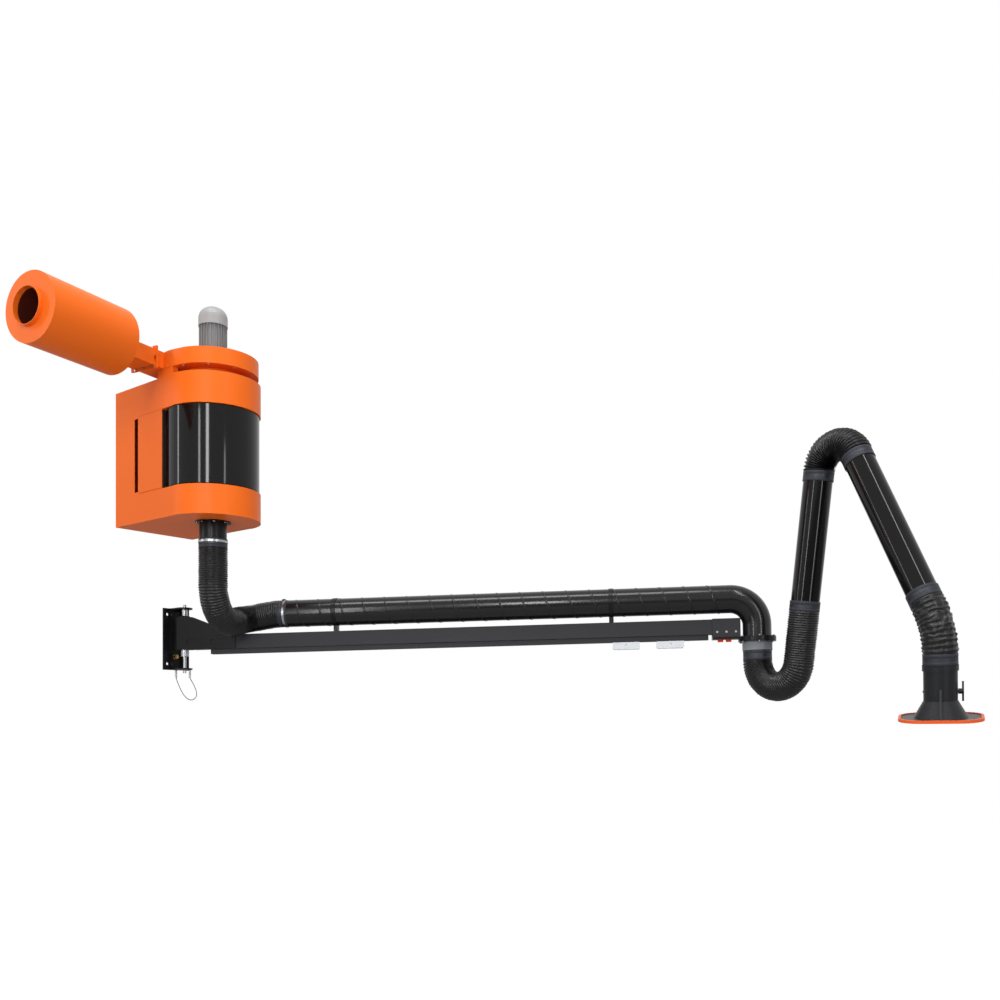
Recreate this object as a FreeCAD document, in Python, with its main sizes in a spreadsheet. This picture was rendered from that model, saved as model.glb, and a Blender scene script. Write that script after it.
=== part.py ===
import FreeCAD, Part
import math
import os
import Sketcher

Vector = FreeCAD.Vector
Placement = FreeCAD.Placement
Rotation = FreeCAD.Rotation

doc = FreeCAD.newDocument("wall_fume_extractor")

# Every size that can be set, in millimetres or degrees.
SIZES = (
    ("sheet_thickness", "3", "housing sheet"),
    ("seat_gap", "0.3", "gap of a seated piece"),
    ("run_gap", "0.05", "radial gap of a turning fit"),
    ("cut_overrun", "5", "how far a cutter passes the face it cuts"),
    ("filter_axis_distance", "577", "wall to drum axis"),
    ("filter_axis_offset", "140", "boom pivot to drum axis along the wall"),
    ("plenum_radius", "260", "half width and front rounding of the plenums"),
    ("front_band_step", "4", "how far the round front stands out from the sides"),
    ("plenum_base_height", "628", "underside of the lower plenum above the bracket centre"),
    ("lower_plenum_height", "163", "lower plenum"),
    ("drum_window_height", "441", "opening between the plenums"),
    ("upper_plenum_height", "174", "upper plenum"),
    ("column_depth", "470", "rear column from the wall"),
    ("wall_hole_spacing_across", "380", "wall bolts of the filter unit"),
    ("wall_hole_spacing_up", "340", "wall bolts of the filter unit"),
    ("wall_hole_radius", "7", "wall bolts of the filter unit"),
    ("drum_radius", "257", "filter drum"),
    ("drum_nest_gap", "2", "drum to the hollow of the rear column"),
    ("drum_wall", "2", "drum sheet"),
    ("drum_inlet_radius", "150", "hole under the drum"),
    ("drum_outlet_radius", "180", "hole over the drum"),
    ("seal_thickness", "6", "drum seal ring"),
    ("seal_width", "22", "drum seal ring"),
    ("seal_inset", "5", "seal ring to the edge of its hole"),
    ("panel_rear", "237", "rear edge of the side panel"),
    ("panel_seat", "1.5", "depth of the side panel seat in the column wall"),
    ("panel_proud", "2", "how far the side panel stands out"),
    ("panel_margin", "4", "side panel to the plenums"),
    ("grip_slot_rear", "196", "rear edge of the grip slot"),
    ("grip_slot_width", "36", "grip slot"),
    ("grip_slot_margin", "12", "grip slot to the plenums"),
    ("pleat_outer_radius", "235", "filter paper"),
    ("pleat_inner_radius", "165", "filter paper"),
    ("pleat_radial_wall", "10", "filter paper measured along the radius"),
    ("spigot_radius", "76", "outside radius of every hose seat and arm tube"),
    ("spigot_wall", "2", "wall of spigots and arm tubes"),
    ("collar_flange_radius", "99", "inlet collar flange"),
    ("collar_flange_thickness", "6", "inlet collar flange"),
    ("collar_length", "96", "inlet collar down to the hose"),
    ("collar_insert", "45", "inlet collar inside the hose"),
    ("screw_radius", "4", "flange screws"),
    ("screw_head_radius", "7", "flange screw heads"),
    ("screw_head_height", "5", "flange screw heads"),
    ("collar_screw_circle", "89", "inlet collar screws"),
    ("fan_gap", "44", "neck between upper plenum and fan"),
    ("fan_foot_length", "140", "foot between upper plenum and fan"),
    ("fan_foot_width", "38", "foot between upper plenum and fan"),
    ("fan_foot_front", "10", "fan axis to the front of the foot"),
    ("fan_neck_radius", "168", "neck between upper plenum and fan"),
    ("fan_height", "90", "fan scroll"),
    ("fan_radius", "252", "fan scroll"),
    ("scroll_shift", "48", "how far the scroll widens toward its outlet"),
    ("outlet_turn", "-78", "direction of the fan outlet from the wall normal"),
    ("outlet_inner_side", "140", "inner side of the fan outlet from the fan axis"),
    ("outlet_reach", "300", "fan axis to the outlet flange"),
    ("flange_width", "16", "outlet flanges"),
    ("flange_thickness", "5", "outlet flanges"),
    ("fan_screw_circle", "230", "screws under the fan"),
    ("shaft_radius", "12", "motor shaft"),
    ("shaft_hole_gap", "4", "shaft to the holes it passes"),
    ("impeller_radius", "195", "impeller"),
    ("impeller_plate", "3", "impeller discs"),
    ("impeller_margin", "14", "impeller to the scroll plates"),
    ("impeller_eye_radius", "125", "impeller inlet"),
    ("impeller_hub_radius", "30", "impeller hub"),
    ("blade_thickness", "4", "impeller blades"),
    ("blade_length", "82", "impeller blades"),
    ("blade_start", "112", "impeller axis to the blade root"),
    ("motor_flange_radius", "96", "motor foot flange"),
    ("motor_flange_height", "12", "motor foot flange"),
    ("motor_radius", "67", "motor body under the fins"),
    ("motor_height", "200", "motor body"),
    ("motor_fin_thickness", "3", "motor fins"),
    ("cowl_radius", "81", "motor cowl"),
    ("cowl_height", "110", "motor cowl"),
    ("cowl_rounding", "64", "motor cowl"),
    ("cowl_wall", "2.5", "motor cowl"),
    ("cowl_overlap", "8", "cowl over the motor fins"),
    ("cooling_fan_radius", "60", "fan under the cowl"),
    ("cooling_fan_height", "20", "fan under the cowl"),
    ("cooling_hub_radius", "26", "fan under the cowl"),
    ("cooling_fan_lift", "10", "motor top to the fan under the cowl"),
    ("silencer_radius", "175", "silencer"),
    ("silencer_length", "525", "silencer"),
    ("silencer_gap", "268", "outlet flange to the silencer"),
    ("silencer_axis_offset", "155", "fan axis to the silencer axis, sideways"),
    ("silencer_bore_radius", "91", "silencer opening"),
    ("silencer_collar_length", "26", "silencer opening collar"),
    ("silencer_wall", "3", "silencer sheet"),
    ("core_start", "60", "rear end of the perforated core"),
    ("bracket_width", "180", "boom wall plate"),
    ("bracket_height", "374", "boom wall plate"),
    ("bracket_thickness", "10", "boom wall plate"),
    ("bracket_hole_spacing_across", "124", "wall bolts"),
    ("bracket_hole_spacing_up", "300", "wall bolts"),
    ("bracket_hole_radius", "9", "wall bolts"),
    ("lug_thickness", "9", "bracket lugs"),
    ("lug_width", "92", "bracket lugs"),
    ("bracket_rib_depth", "26", "plate stiffening ribs"),
    ("bracket_rib_thickness", "6", "plate stiffening ribs"),
    ("bracket_rib_spread", "92", "plate stiffening ribs, outside to outside"),
    ("pivot_distance", "96", "wall to boom pivot"),
    ("pivot_radius", "10", "pivot pin"),
    ("pivot_overhang", "20", "pivot pin past the lugs"),
    ("root_sleeve_radius", "20", "sleeve around the pivot pin"),
    ("root_top", "139", "boom root at the pivot"),
    ("root_bottom", "-67", "boom root at the pivot"),
    ("root_rear", "36", "boom root behind the pivot"),
    ("root_top_run", "40", "level part of the root top"),
    ("root_length", "332", "boom root plates"),
    ("root_plate", "5", "boom root plates"),
    ("upper_bush_radius", "17", "spacer over the root sleeve"),
    ("lower_bush_radius", "23", "thrust bush under the root sleeve"),
    ("lower_bush_height", "40", "thrust bush under the root sleeve"),
    ("bead_height", "34", "pressed slots of the boom root"),
    ("bead_depth", "3.5", "pressed slots of the boom root"),
    ("bead_level", "-20", "middle of the pressed slots"),
    ("bead_first", "28", "rear end of the first pressed slot"),
    ("bead_second", "176", "rear end of the second pressed slot"),
    ("bead_length", "118", "pressed slots of the boom root"),
    ("brass_bolt_level", "-106", "brass bolt on the wall plate"),
    ("brass_bolt_offset", "-17", "brass bolt from the plate middle"),
    ("brass_bolt_length", "30", "brass bolt past the wall plate"),
    ("brass_bolt_radius", "8", "brass bolt shank"),
    ("brass_head_radius", "14", "brass bolt head"),
    ("brass_head_height", "14", "brass bolt head"),
    ("wire_radius", "2.5", "hanging wire loop"),
    ("ferrule_radius", "6.5", "sleeves of the wire loop"),
    ("ferrule_length", "48", "sleeves of the wire loop"),
    ("wire_drop", "138", "wire loop under its sleeves"),
    ("wire_span", "84", "distance of the wire ends"),
    ("wire_turn", "39.2", "direction of the wire loop from the wall normal"),
    ("ferrule_one_distance", "42", "first sleeve from the wall"),
    ("ferrule_one_offset", "-24", "first sleeve from the plate middle"),
    ("swing_rest", "32.2", "boom direction from the wall normal"),
    ("boom_rise", "1.1", "upward slope of the boom"),
    ("beam_top", "17", "boom beam"),
    ("beam_height", "85", "boom beam"),
    ("beam_width", "60", "boom beam"),
    ("beam_wall", "4", "boom beam"),
    ("beam_start", "60", "pivot to the beam"),
    ("beam_end", "3290", "pivot to the beam end"),
    ("rail_height", "30", "glider rail"),
    ("rail_width", "40", "glider rail"),
    ("rail_wall", "3", "glider rail"),
    ("rail_slot", "16", "glider rail"),
    ("rail_start", "172", "pivot to the rail"),
    ("rail_end_gap", "22", "rail end to the end block"),
    ("end_block_length", "147", "end block over the beam end"),
    ("end_block_wall", "6", "end block sides"),
    ("end_block_cap", "9", "end block end wall"),
    ("end_block_floor", "17", "end block under the beam"),
    ("end_bolt_level", "-56", "end block screws"),
    ("end_bolt_pitch", "52", "end block screws"),
    ("buffer_length", "30", "rail end buffers"),
    ("buffer_height", "14", "rail end buffers"),
    ("buffer_width", "26", "rail end buffers"),
    ("buffer_pitch", "46", "rail end buffers"),
    ("swivel_overhang", "104", "beam end to the arm swivel"),
    ("swivel_plate_thickness", "12", "swivel plate"),
    ("swivel_plate_width", "84", "swivel plate"),
    ("swivel_radius", "105", "swivel plate and clamp ring"),
    ("swivel_flange_radius", "94", "turning flange"),
    ("swivel_flange_thickness", "8", "turning flange"),
    ("swivel_clamp_thickness", "8", "clamp ring under the turning flange"),
    ("swivel_bolt_circle", "99.5", "swivel bolts"),
    ("swivel_cuff_radius", "83", "grey cuff"),
    ("swivel_cuff_height", "50", "grey cuff"),
    ("duct_radius", "80", "boom duct"),
    ("duct_wall", "1.5", "boom duct"),
    ("duct_level", "132", "boom duct axis over the pivot line"),
    ("duct_start", "659", "pivot to the duct"),
    ("duct_spigot_length", "60", "hose seat of the duct"),
    ("elbow_radius", "150", "duct elbow"),
    ("strap_first", "946", "pivot to the first duct strap"),
    ("strap_second", "2574", "pivot to the second duct strap"),
    ("strap_width", "26", "duct straps"),
    ("strap_thickness", "3", "duct straps"),
    ("strap_post_width", "34", "duct strap posts"),
    ("band_width", "12", "hose bands"),
    ("band_thickness", "2", "hose bands"),
    ("glider_first", "634", "first glider to the beam end"),
    ("glider_second", "383", "second glider to the beam end"),
    ("glider_length", "155", "gliders"),
    ("glider_width", "44", "gliders"),
    ("glider_height", "40", "gliders under the rail"),
    ("glider_neck", "13", "glider neck in the rail slot"),
    ("glider_hole_radius", "6", "hanging hole of a glider"),
    ("glider_chamfer", "6", "gliders"),
    ("arm_turn", "-50", "arm direction from the boom"),
    ("lower_arm_lean", "9.2", "lower tube from upright"),
    ("upper_arm_lean", "26.1", "upper tube from upright"),
    ("wrist_turn", "31.7", "bend of the wrist"),
    ("wrist_roll", "12", "bend plane of the wrist, turned about the upper tube"),
    ("hood_turn", "44.8", "long side of the hood from the bend plane of the wrist"),
    ("shoulder_drop", "61", "straight hose above the shoulder bend"),
    ("shoulder_bend", "150", "shoulder bend"),
    ("lower_run", "1023", "straight part of the lower arm"),
    ("elbow_bend", "125", "elbow bend of the arm"),
    ("upper_run", "930", "straight part of the upper arm"),
    ("wrist_bend", "420", "wrist bend"),
    ("wrist_drop", "50", "straight hose above the hood"),
    ("shoulder_hose_run", "330", "shoulder hose along the lower arm"),
    ("elbow_hose_run", "62", "elbow hose along each tube"),
    ("wrist_hose_run", "95", "wrist hose along the upper tube"),
    ("tube_insert", "45", "tube ends inside their hoses"),
    ("hose_wall", "1.4", "hose between its ribs"),
    ("rib_height", "4", "hose ribs"),
    ("cuff_length", "48", "smooth hose ends"),
    ("cuff_wall", "4", "smooth hose ends"),
    ("rib_pitch_fine", "14", "ribs of inlet and shoulder hose"),
    ("rib_pitch_elbow", "13", "ribs of the elbow hose"),
    ("rib_pitch_wrist", "20", "ribs of the wrist hose"),
    ("inlet_hose_corner", "55", "height of the corner under the inlet collar"),
    ("inlet_hose_lead", "299", "lowest corner of the hose to the duct, along the boom"),
    ("inlet_hose_sag", "32", "lowest corner of the hose under the duct axis"),
    ("inlet_hose_seat", "85", "straight hose end on the duct"),
    ("inlet_corner_radius", "190", "bend under the inlet collar"),
    ("inlet_lead_radius", "135", "bend before the duct"),
    ("inlet_seat_radius", "300", "bend at the straight end"),
    ("bar_width", "30", "support bars"),
    ("bar_thickness", "8", "support bars"),
    ("bar_spacing", "2", "gap for the friction discs"),
    ("eye_radius", "22", "joint eyes of the support bars"),
    ("pin_radius", "7", "arm joint pins"),
    ("pin_head_radius", "13", "arm joint pins"),
    ("pin_head_height", "6", "arm joint pins"),
    ("spider_width", "22", "cross bars that hold tubes to the support bars"),
    ("spider_inset", "90", "cross bars from the tube ends"),
    ("hood_neck_radius", "77", "hood neck"),
    ("hood_neck_length", "164", "hood neck"),
    ("hood_flare_radius", "123", "hood flare at the flange"),
    ("hood_flare_height", "82", "hood flare"),
    ("hood_wall", "3", "hood"),
    ("hood_flange_length", "372", "hood flange"),
    ("hood_flange_depth", "300", "hood flange"),
    ("hood_flange_thickness", "7", "hood flange"),
    ("hood_corner_radius", "105", "hood flange corners"),
    ("rim_overhang", "5", "edge trim past the flange"),
    ("rim_cover", "7", "edge trim over the flange"),
    ("rim_wall", "4", "edge trim over and under the flange"),
    ("fin_start", "14", "hood fins below the neck top"),
    ("fin_thickness", "9", "hood fins"),
    ("collar_skirt", "22", "turning collar over the hood neck"),
    ("collar_step", "5", "turning collar wall"),
    ("damper_drop", "122", "damper axis below the neck top"),
    ("damper_radius", "69", "damper flap"),
    ("damper_thickness", "3", "damper flap"),
    ("damper_shaft_radius", "5", "damper shaft"),
    ("knob_reach", "26", "damper knob from the neck"),
    ("knob_height", "96", "damper knob"),
    ("knob_width", "26", "damper knob"),
    ("knob_thickness", "9", "damper knob"),
    ("knob_hub_radius", "13", "damper knob hub"),
)

sheet = doc.addObject("Spreadsheet::Sheet", "sizes")
for row, (alias, number, note) in enumerate(SIZES, start=1):
    sheet.set("A%d" % row, note)
    sheet.set("B%d" % row, number)
    sheet.setAlias("B%d" % row, alias)
doc.recompute()

# Counts and shares that are not lengths.
PLEATS = 60
COLLAR_SCREWS = 8
FAN_SCREWS = 10
IMPELLER_BLADES = 10
MOTOR_FINS = 24
COOLING_BLADES = 7
SWIVEL_BOLTS = 6
COWL_STEPS = 8
END_BOLTS = 3
BLADE_SWEEP_DEG = 35
RIB_RISE_SHARES = (0.0, 0.22, 0.5, 0.72)
WIRE_CORNER_SHARE = 0.45
ROOT_NOSE_SHARE = 0.4
GLIDER_HEAD_SHARE = 0.75
FLANGE_SCREW_SHARES = (0.1, 0.5, 0.9)
WIRE_SHARES = ((0, 0), (0.26, 0.45), (0.69, 0.885), (1.17, 1), (1.52, 0.81), (1.43, 0.435), (1, 0))


class Size:
    """A number of the model together with the sheet formula that gives it."""

    def __init__(self, value, formula):
        self.value = value
        self.formula = formula

    def __add__(self, other):
        other = as_size(other)
        return Size(self.value + other.value, "(%s + %s)" % (self.formula, other.formula))

    def __radd__(self, other):
        return as_size(other) + self

    def __sub__(self, other):
        other = as_size(other)
        return Size(self.value - other.value, "(%s - %s)" % (self.formula, other.formula))

    def __rsub__(self, other):
        return as_size(other) - self

    def __mul__(self, other):
        other = as_size(other)
        return Size(self.value * other.value, "(%s * %s)" % (self.formula, other.formula))

    def __rmul__(self, other):
        return as_size(other) * self

    def __truediv__(self, other):
        other = as_size(other)
        return Size(self.value / other.value, "(%s / %s)" % (self.formula, other.formula))

    def __neg__(self):
        return Size(-self.value, "(0 - %s)" % self.formula)


def as_size(number):
    """Give a plain number the form of a size."""
    if isinstance(number, Size):
        return number
    return Size(float(number), repr(float(number)))


class Sheet:
    """Reads the driving sizes by name."""

    def __init__(self, rows):
        self.rows = {alias: float(number) for alias, number, _ in rows}

    def __getattr__(self, alias):
        return Size(self.rows[alias], "sizes." + alias)


S = Sheet(SIZES)
NODES = []


def bind(thing, prop, length):
    """Tie one property of an object to the sheet."""
    thing.setExpression(prop, as_size(length).formula)


def stand(thing, at, turn=Rotation()):
    """Place an object at three sizes, with a fixed turn."""
    thing.Placement = Placement(Vector(), turn)
    for axis, length in zip("xyz", at):
        bind(thing, "Placement.Base." + axis, length)
    return thing


TURNS = {
    "x": Rotation(Vector(0, 1, 0), 90),
    "y": Rotation(Vector(1, 0, 0), -90),
    "z": Rotation(),
}


def block(length, width, height, at):
    """A box from its low corner."""
    thing = doc.addObject("Part::Box", "block")
    bind(thing, "Length", length)
    bind(thing, "Width", width)
    bind(thing, "Height", height)
    return stand(thing, at)


def rod(radius, height, at, axis="z"):
    """A round bar along one axis."""
    thing = doc.addObject("Part::Cylinder", "rod")
    bind(thing, "Radius", radius)
    bind(thing, "Height", height)
    return stand(thing, at, TURNS[axis])


def fuse(*things):
    """Join objects into one."""
    thing = doc.addObject("Part::MultiFuse", "joined")
    thing.Shapes = list(things)
    return thing


def cut(base, *tools):
    """Take one or more cutters from an object."""
    thing = doc.addObject("Part::Cut", "cut")
    thing.Base = base
    thing.Tool = tools[0] if len(tools) == 1 else fuse(*tools)
    return thing


def group(*things):
    """Keep alike pieces together as separate solids."""
    thing = doc.addObject("Part::Compound", "group")
    thing.Links = list(things)
    return thing


def tube(outer, inner, height, at, axis="z"):
    """A round tube along one axis."""
    return cut(rod(outer, height, at, axis), rod(inner, height, at, axis))


def hexagon(radius, height, at, axis="z"):
    """A hexagon bar along one axis."""
    thing = doc.addObject("Part::Prism", "hexagon")
    thing.Polygon = 6
    bind(thing, "Circumradius", radius)
    bind(thing, "Height", height)
    return stand(thing, at, TURNS[axis])


def from_shape(shape):
    """An object for a shape that no feature makes."""
    thing = doc.addObject("Part::Feature", "shaped")
    thing.Shape = shape
    return thing


def node(label, thing, frame=Placement()):
    """Name a finished piece and put it in its frame."""
    thing.Placement = frame.multiply(thing.Placement)
    thing.Label = label
    NODES.append(thing)
    return thing


def new_body():
    """An empty body."""
    return doc.addObject("PartDesign::Body", "body")


def plane_of(body, role):
    """One of the origin planes of a body."""
    return [f for f in body.Origin.OriginFeatures if f.Role == role][0]


def new_sketch(body, role, lift):
    """A sketch on an origin plane of the body, lifted along its normal."""
    sketch = body.newObject("Sketcher::SketchObject", "sketch")
    sketch.AttachmentSupport = [(plane_of(body, role), "")]
    sketch.MapMode = "FlatFace"
    bind(sketch, "AttachmentOffset.Base.z", lift)
    return sketch


def polygon_sketch(body, role, points, lift=0):
    """A closed outline whose corners are tied to the sheet."""
    sketch = new_sketch(body, role, lift)
    points = [(as_size(x), as_size(y)) for x, y in points]
    spots = [Vector(x.value, y.value, 0) for x, y in points]
    count = len(points)
    for i in range(count):
        sketch.addGeometry(Part.LineSegment(spots[i], spots[(i + 1) % count]), False)
    for i in range(count):
        sketch.addConstraint(Sketcher.Constraint("Coincident", i, 2, (i + 1) % count, 1))
    for i, corner in enumerate(points):
        for kind, length in zip(("DistanceX", "DistanceY"), corner):
            index = sketch.addConstraint(Sketcher.Constraint(kind, i, 1, length.value))
            sketch.setExpression("Constraints[%d]" % index, length.formula)
    return sketch


def circle_sketch(body, role, radius, lift=0):
    """A circle about the origin of its plane."""
    sketch = new_sketch(body, role, lift)
    sketch.addGeometry(Part.Circle(Vector(), Vector(0, 0, 1), radius.value), False)
    sketch.addConstraint(Sketcher.Constraint("Coincident", 0, 3, -1, 1))
    index = sketch.addConstraint(Sketcher.Constraint("Radius", 0, radius.value))
    sketch.setExpression("Constraints[%d]" % index, radius.formula)
    return sketch


def pad(body, sketch, length, both_ways=False):
    """Raise a sketch."""
    feature = body.newObject("PartDesign::Pad", "pad")
    feature.Profile = sketch
    bind(feature, "Length", length)
    feature.Midplane = both_ways
    return feature


def pocket_through(body, sketch):
    """Cut a sketch through the whole body."""
    feature = body.newObject("PartDesign::Pocket", "pocket")
    feature.Profile = sketch
    feature.Type = "ThroughAll"
    feature.Midplane = True
    return feature


def around(body, sketch, feature, count):
    """Repeat a feature around the upright axis."""
    pattern = body.newObject("PartDesign::PolarPattern", "pattern")
    pattern.Originals = [feature]
    pattern.Axis = (sketch, ["N_Axis"])
    pattern.Angle = 360
    pattern.Occurrences = count
    body.Tip = pattern
    return pattern


def turned(points):
    """A body turned about the upright axis from radius and height pairs."""
    body = new_body()
    sketch = polygon_sketch(body, "XZ_Plane", points)
    feature = body.newObject("PartDesign::Revolution", "turned")
    feature.Profile = sketch
    feature.ReferenceAxis = (sketch, ["V_Axis"])
    feature.Angle = 360
    return body


def ring_spots(count, radius, start_deg=0.0):
    """Even spots on a circle, as sizes."""
    spots = []
    for i in range(count):
        angle = math.radians(start_deg + 360.0 * i / count)
        spots.append((radius * math.cos(angle), radius * math.sin(angle)))
    return spots


class Route:
    """A path of straight runs and tangent arcs, with its length along it."""

    def __init__(self):
        self.pieces = []
        self.length = 0.0

    def add_line(self, start, end):
        span = (end - start).Length
        self.pieces.append((self.length, span, "line", start, (end - start).normalize()))
        self.length += span

    def add_arc(self, start, heading, centre, axis, turn):
        radius = (start - centre).Length
        span = radius * turn
        self.pieces.append((self.length, span, "arc", start, heading, centre, axis, turn))
        self.length += span

    def at(self, distance):
        """Position and heading at a distance along the path."""
        for piece in self.pieces:
            if distance <= piece[0] + piece[1] or piece is self.pieces[-1]:
                break
        along = distance - piece[0]
        if piece[2] == "line":
            return piece[3] + piece[4] * along, Vector(piece[4])
        start, heading, centre, axis, turn = piece[3:]
        spin = Rotation(axis, math.degrees(turn * along / piece[1]))
        return centre + spin.multVec(start - centre), spin.multVec(heading)

    def wire(self, begin, end):
        """Edges of the path between two distances."""
        edges = []
        for piece in self.pieces:
            low = max(begin, piece[0])
            high = min(end, piece[0] + piece[1])
            if high - low <= S.run_gap.value:
                continue
            first, last = self.at(low)[0], self.at(high)[0]
            if piece[2] == "line":
                edges.append(Part.LineSegment(first, last).toShape())
            else:
                middle = self.at((low + high) / 2)[0]
                edges.append(Part.Arc(first, middle, last).toShape())
        return Part.Wire(edges)


def planar_route(start, heading, steps):
    """A path in the upright X Z plane from lengths and bends (radius, turn and roll in degrees)."""
    route = Route()
    for step in steps:
        if isinstance(step, tuple):
            radius, turn, roll = step
            axis = Rotation(heading, roll).multVec(Vector(0, -1, 0))
            side = Rotation(axis, math.copysign(90, turn)).multVec(heading)
            centre = start + side * radius
            spin = axis * math.copysign(1, turn)
            route.add_arc(start, heading, centre, spin, math.radians(abs(turn)))
        else:
            route.add_line(start, start + heading * step)
        start, heading = route.at(route.length)
    return route


def rounded_route(points, radii):
    """A path through corner points, each corner rounded by its radius."""
    route = Route()
    start = points[0]
    for i, radius in enumerate(radii, start=1):
        come = (points[i] - points[i - 1]).normalize()
        leave = (points[i + 1] - points[i]).normalize()
        turn = come.getAngle(leave)
        cutback = radius * math.tan(turn / 2)
        bend = points[i] - come * cutback
        axis = come.cross(leave).normalize()
        centre = bend + axis.cross(come) * radius
        route.add_line(start, bend)
        route.add_arc(bend, come, centre, axis, turn)
        start = points[i] + leave * cutback
    route.add_line(start, points[-1])
    return route


def stations(route, distances, across):
    """Frames along a path that keep one steady sideways axis."""
    frames = []
    for distance in distances:
        spot, heading = route.at(distance)
        across = (across - heading * across.dot(heading)).normalize()
        turn = Rotation(across, heading.cross(across), heading, "ZXY")
        frames.append(Placement(spot, turn))
    return frames


def circle_at(frame, radius):
    """A circle across the path."""
    ring = Part.makeCircle(radius)
    ring.Placement = frame
    return Part.Wire([ring])


def ribbed_hose(route, begin, end, pitch, across):
    """A ribbed hose with its bore and two smooth cuffs, as one solid."""
    bore = (S.spigot_radius + S.seat_gap).value
    valley = bore + S.hose_wall.value
    crest = valley + S.rib_height.value
    cuff = bore + S.cuff_wall.value
    cuffs = S.cuff_length.value
    first, last = begin + cuffs, end - cuffs
    count = max(1, round((last - first) / pitch))
    step = (last - first) / count
    skin = [(begin, cuff), (first, cuff)]
    lining = [begin]
    for i in range(count):
        for share, radius in zip(RIB_RISE_SHARES, (valley, crest, crest, valley)):
            skin.append((first + (i + share) * step + S.run_gap.value, radius))
        lining.append(first + i * step)
    skin += [(last, valley), (last + S.run_gap.value, cuff), (end, cuff)]
    lining += [last, end]
    outer = [circle_at(f, r) for f, (_, r) in zip(stations(route, [d for d, _ in skin], across), skin)]
    inner = [circle_at(f, bore) for f in stations(route, lining, across)]
    faces = Part.makeLoft(outer, False, True).Faces + Part.makeLoft(inner, False, True).Faces
    for rim, hole in ((outer[0], inner[0]), (outer[-1], inner[-1])):
        faces.append(Part.makeFace([rim, hole], "Part::FaceMakerBullseye"))
    shell = Part.makeShell(faces)
    shell.sewShape()
    solid = Part.makeSolid(shell)
    if solid.Volume < 0:
        solid.reverse()
    return solid


def bent_bar(route, begin, end, low, high, across):
    """A flat bar that follows the path, between two sideways offsets."""
    frame = stations(route, [begin], across)[0]
    half = S.bar_width.value / 2
    corners = [(low, -half), (high, -half), (high, half), (low, half), (low, -half)]
    section = Part.makePolygon([frame.multVec(Vector(x, y, 0)) for x, y in corners])
    return route.wire(begin, end).makePipeShell([section], True, False)


def cross_bar(route, distance, across):
    """A cross bar that holds a tube or spigot to its support bar."""
    frame = stations(route, [distance], across)[0]
    reach = (S.spigot_radius - S.spigot_wall - S.seat_gap).value
    width = S.spider_width.value
    deep = S.bar_thickness.value
    bar = Part.makeBox(2 * reach, width, deep, Vector(-reach, -width / 2, -deep / 2))
    bar.Placement = frame.multiply(bar.Placement)
    reamed = Part.makeCylinder(reach, 2 * deep, Vector(0, 0, -deep))
    reamed.Placement = frame.multiply(reamed.Placement)
    return bar.common(reamed)


def side_rod(spot, radius, low, high, across):
    """A round bar across the path at one point of it."""
    return Part.makeCylinder(radius, high - low, spot + across * low, across)


def support_bar(route, begin, end, side, eyes, crosses, across):
    """A support bar with its joint eyes and cross bars, as one solid."""
    near = S.bar_spacing.value / 2
    far = near + S.bar_thickness.value
    low, high = (near, far) if side > 0 else (-far, -near)
    shape = bent_bar(route, begin, end, low, high, across)
    for distance in crosses:
        shape = shape.fuse(cross_bar(route, distance, across))
    eye = S.eye_radius.value
    room = eye + S.seat_gap.value
    hole = (S.pin_radius + S.run_gap).value
    for distance, pin_way in eyes:
        spot = route.at(distance)[0]
        shape = shape.cut(side_rod(spot, room, high, high + eye, pin_way))
        shape = shape.cut(side_rod(spot, room, low - eye, low, pin_way))
        shape = shape.fuse(side_rod(spot, eye, low, high, pin_way))
        shape = shape.cut(side_rod(spot, hole, low, high, pin_way))
    return shape.removeSplitter()


def joint_pin(route, distance, across):
    """A joint pin with two heads and its friction disc between the eyes."""
    spot = route.at(distance)[0]
    out = (S.bar_spacing / 2 + S.bar_thickness + S.seat_gap).value
    head = S.pin_head_height.value
    disc = (S.bar_spacing / 2 - S.run_gap).value
    shape = side_rod(spot, S.pin_radius.value, -out - head, out + head, across)
    shape = shape.fuse(side_rod(spot, S.pin_head_radius.value, out, out + head, across))
    shape = shape.fuse(side_rod(spot, S.pin_head_radius.value, -out - head, -out, across))
    shape = shape.fuse(side_rod(spot, S.pin_head_radius.value, -disc, disc, across))
    return shape.removeSplitter()


def straight_tube(route, begin, end):
    """An arm tube on a straight run of the path."""
    thing = cut(
        rod(S.spigot_radius, end - begin, (0, 0, 0)),
        rod(S.spigot_radius - S.spigot_wall, end - begin, (0, 0, 0)),
    )
    return thing, stations(route, [begin.value], Vector(0, 1, 0))[0]


def rounded_plate(length, depth, corner, height, lift):
    """A plate with rounded corners about the upright axis."""
    pieces = [
        block(length - corner * 2, depth, height, (corner - length / 2, -depth / 2, lift)),
        block(length, depth - corner * 2, height, (-length / 2, corner - depth / 2, lift)),
    ]
    for x in (length / 2 - corner, corner - length / 2):
        for y in (depth / 2 - corner, corner - depth / 2):
            pieces.append(rod(corner, height, (x, y, lift)))
    return fuse(*pieces)


# Levels of the filter unit.
low = S.plenum_base_height
drum_low = low + S.lower_plenum_height
drum_high = drum_low + S.drum_window_height
unit_top = drum_high + S.upper_plenum_height
fan_low = unit_top + S.fan_gap
fan_high = fan_low + S.fan_height
motor_high = fan_high + S.motor_height
impeller_low = fan_low + S.sheet_thickness + S.impeller_margin
impeller_high = fan_high - S.sheet_thickness - S.impeller_margin
wall_x = -S.filter_axis_distance
spigot_bore = S.spigot_radius - S.spigot_wall
hose_bore = S.spigot_radius + S.seat_gap
cuff_radius = hose_bore + S.cuff_wall

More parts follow.
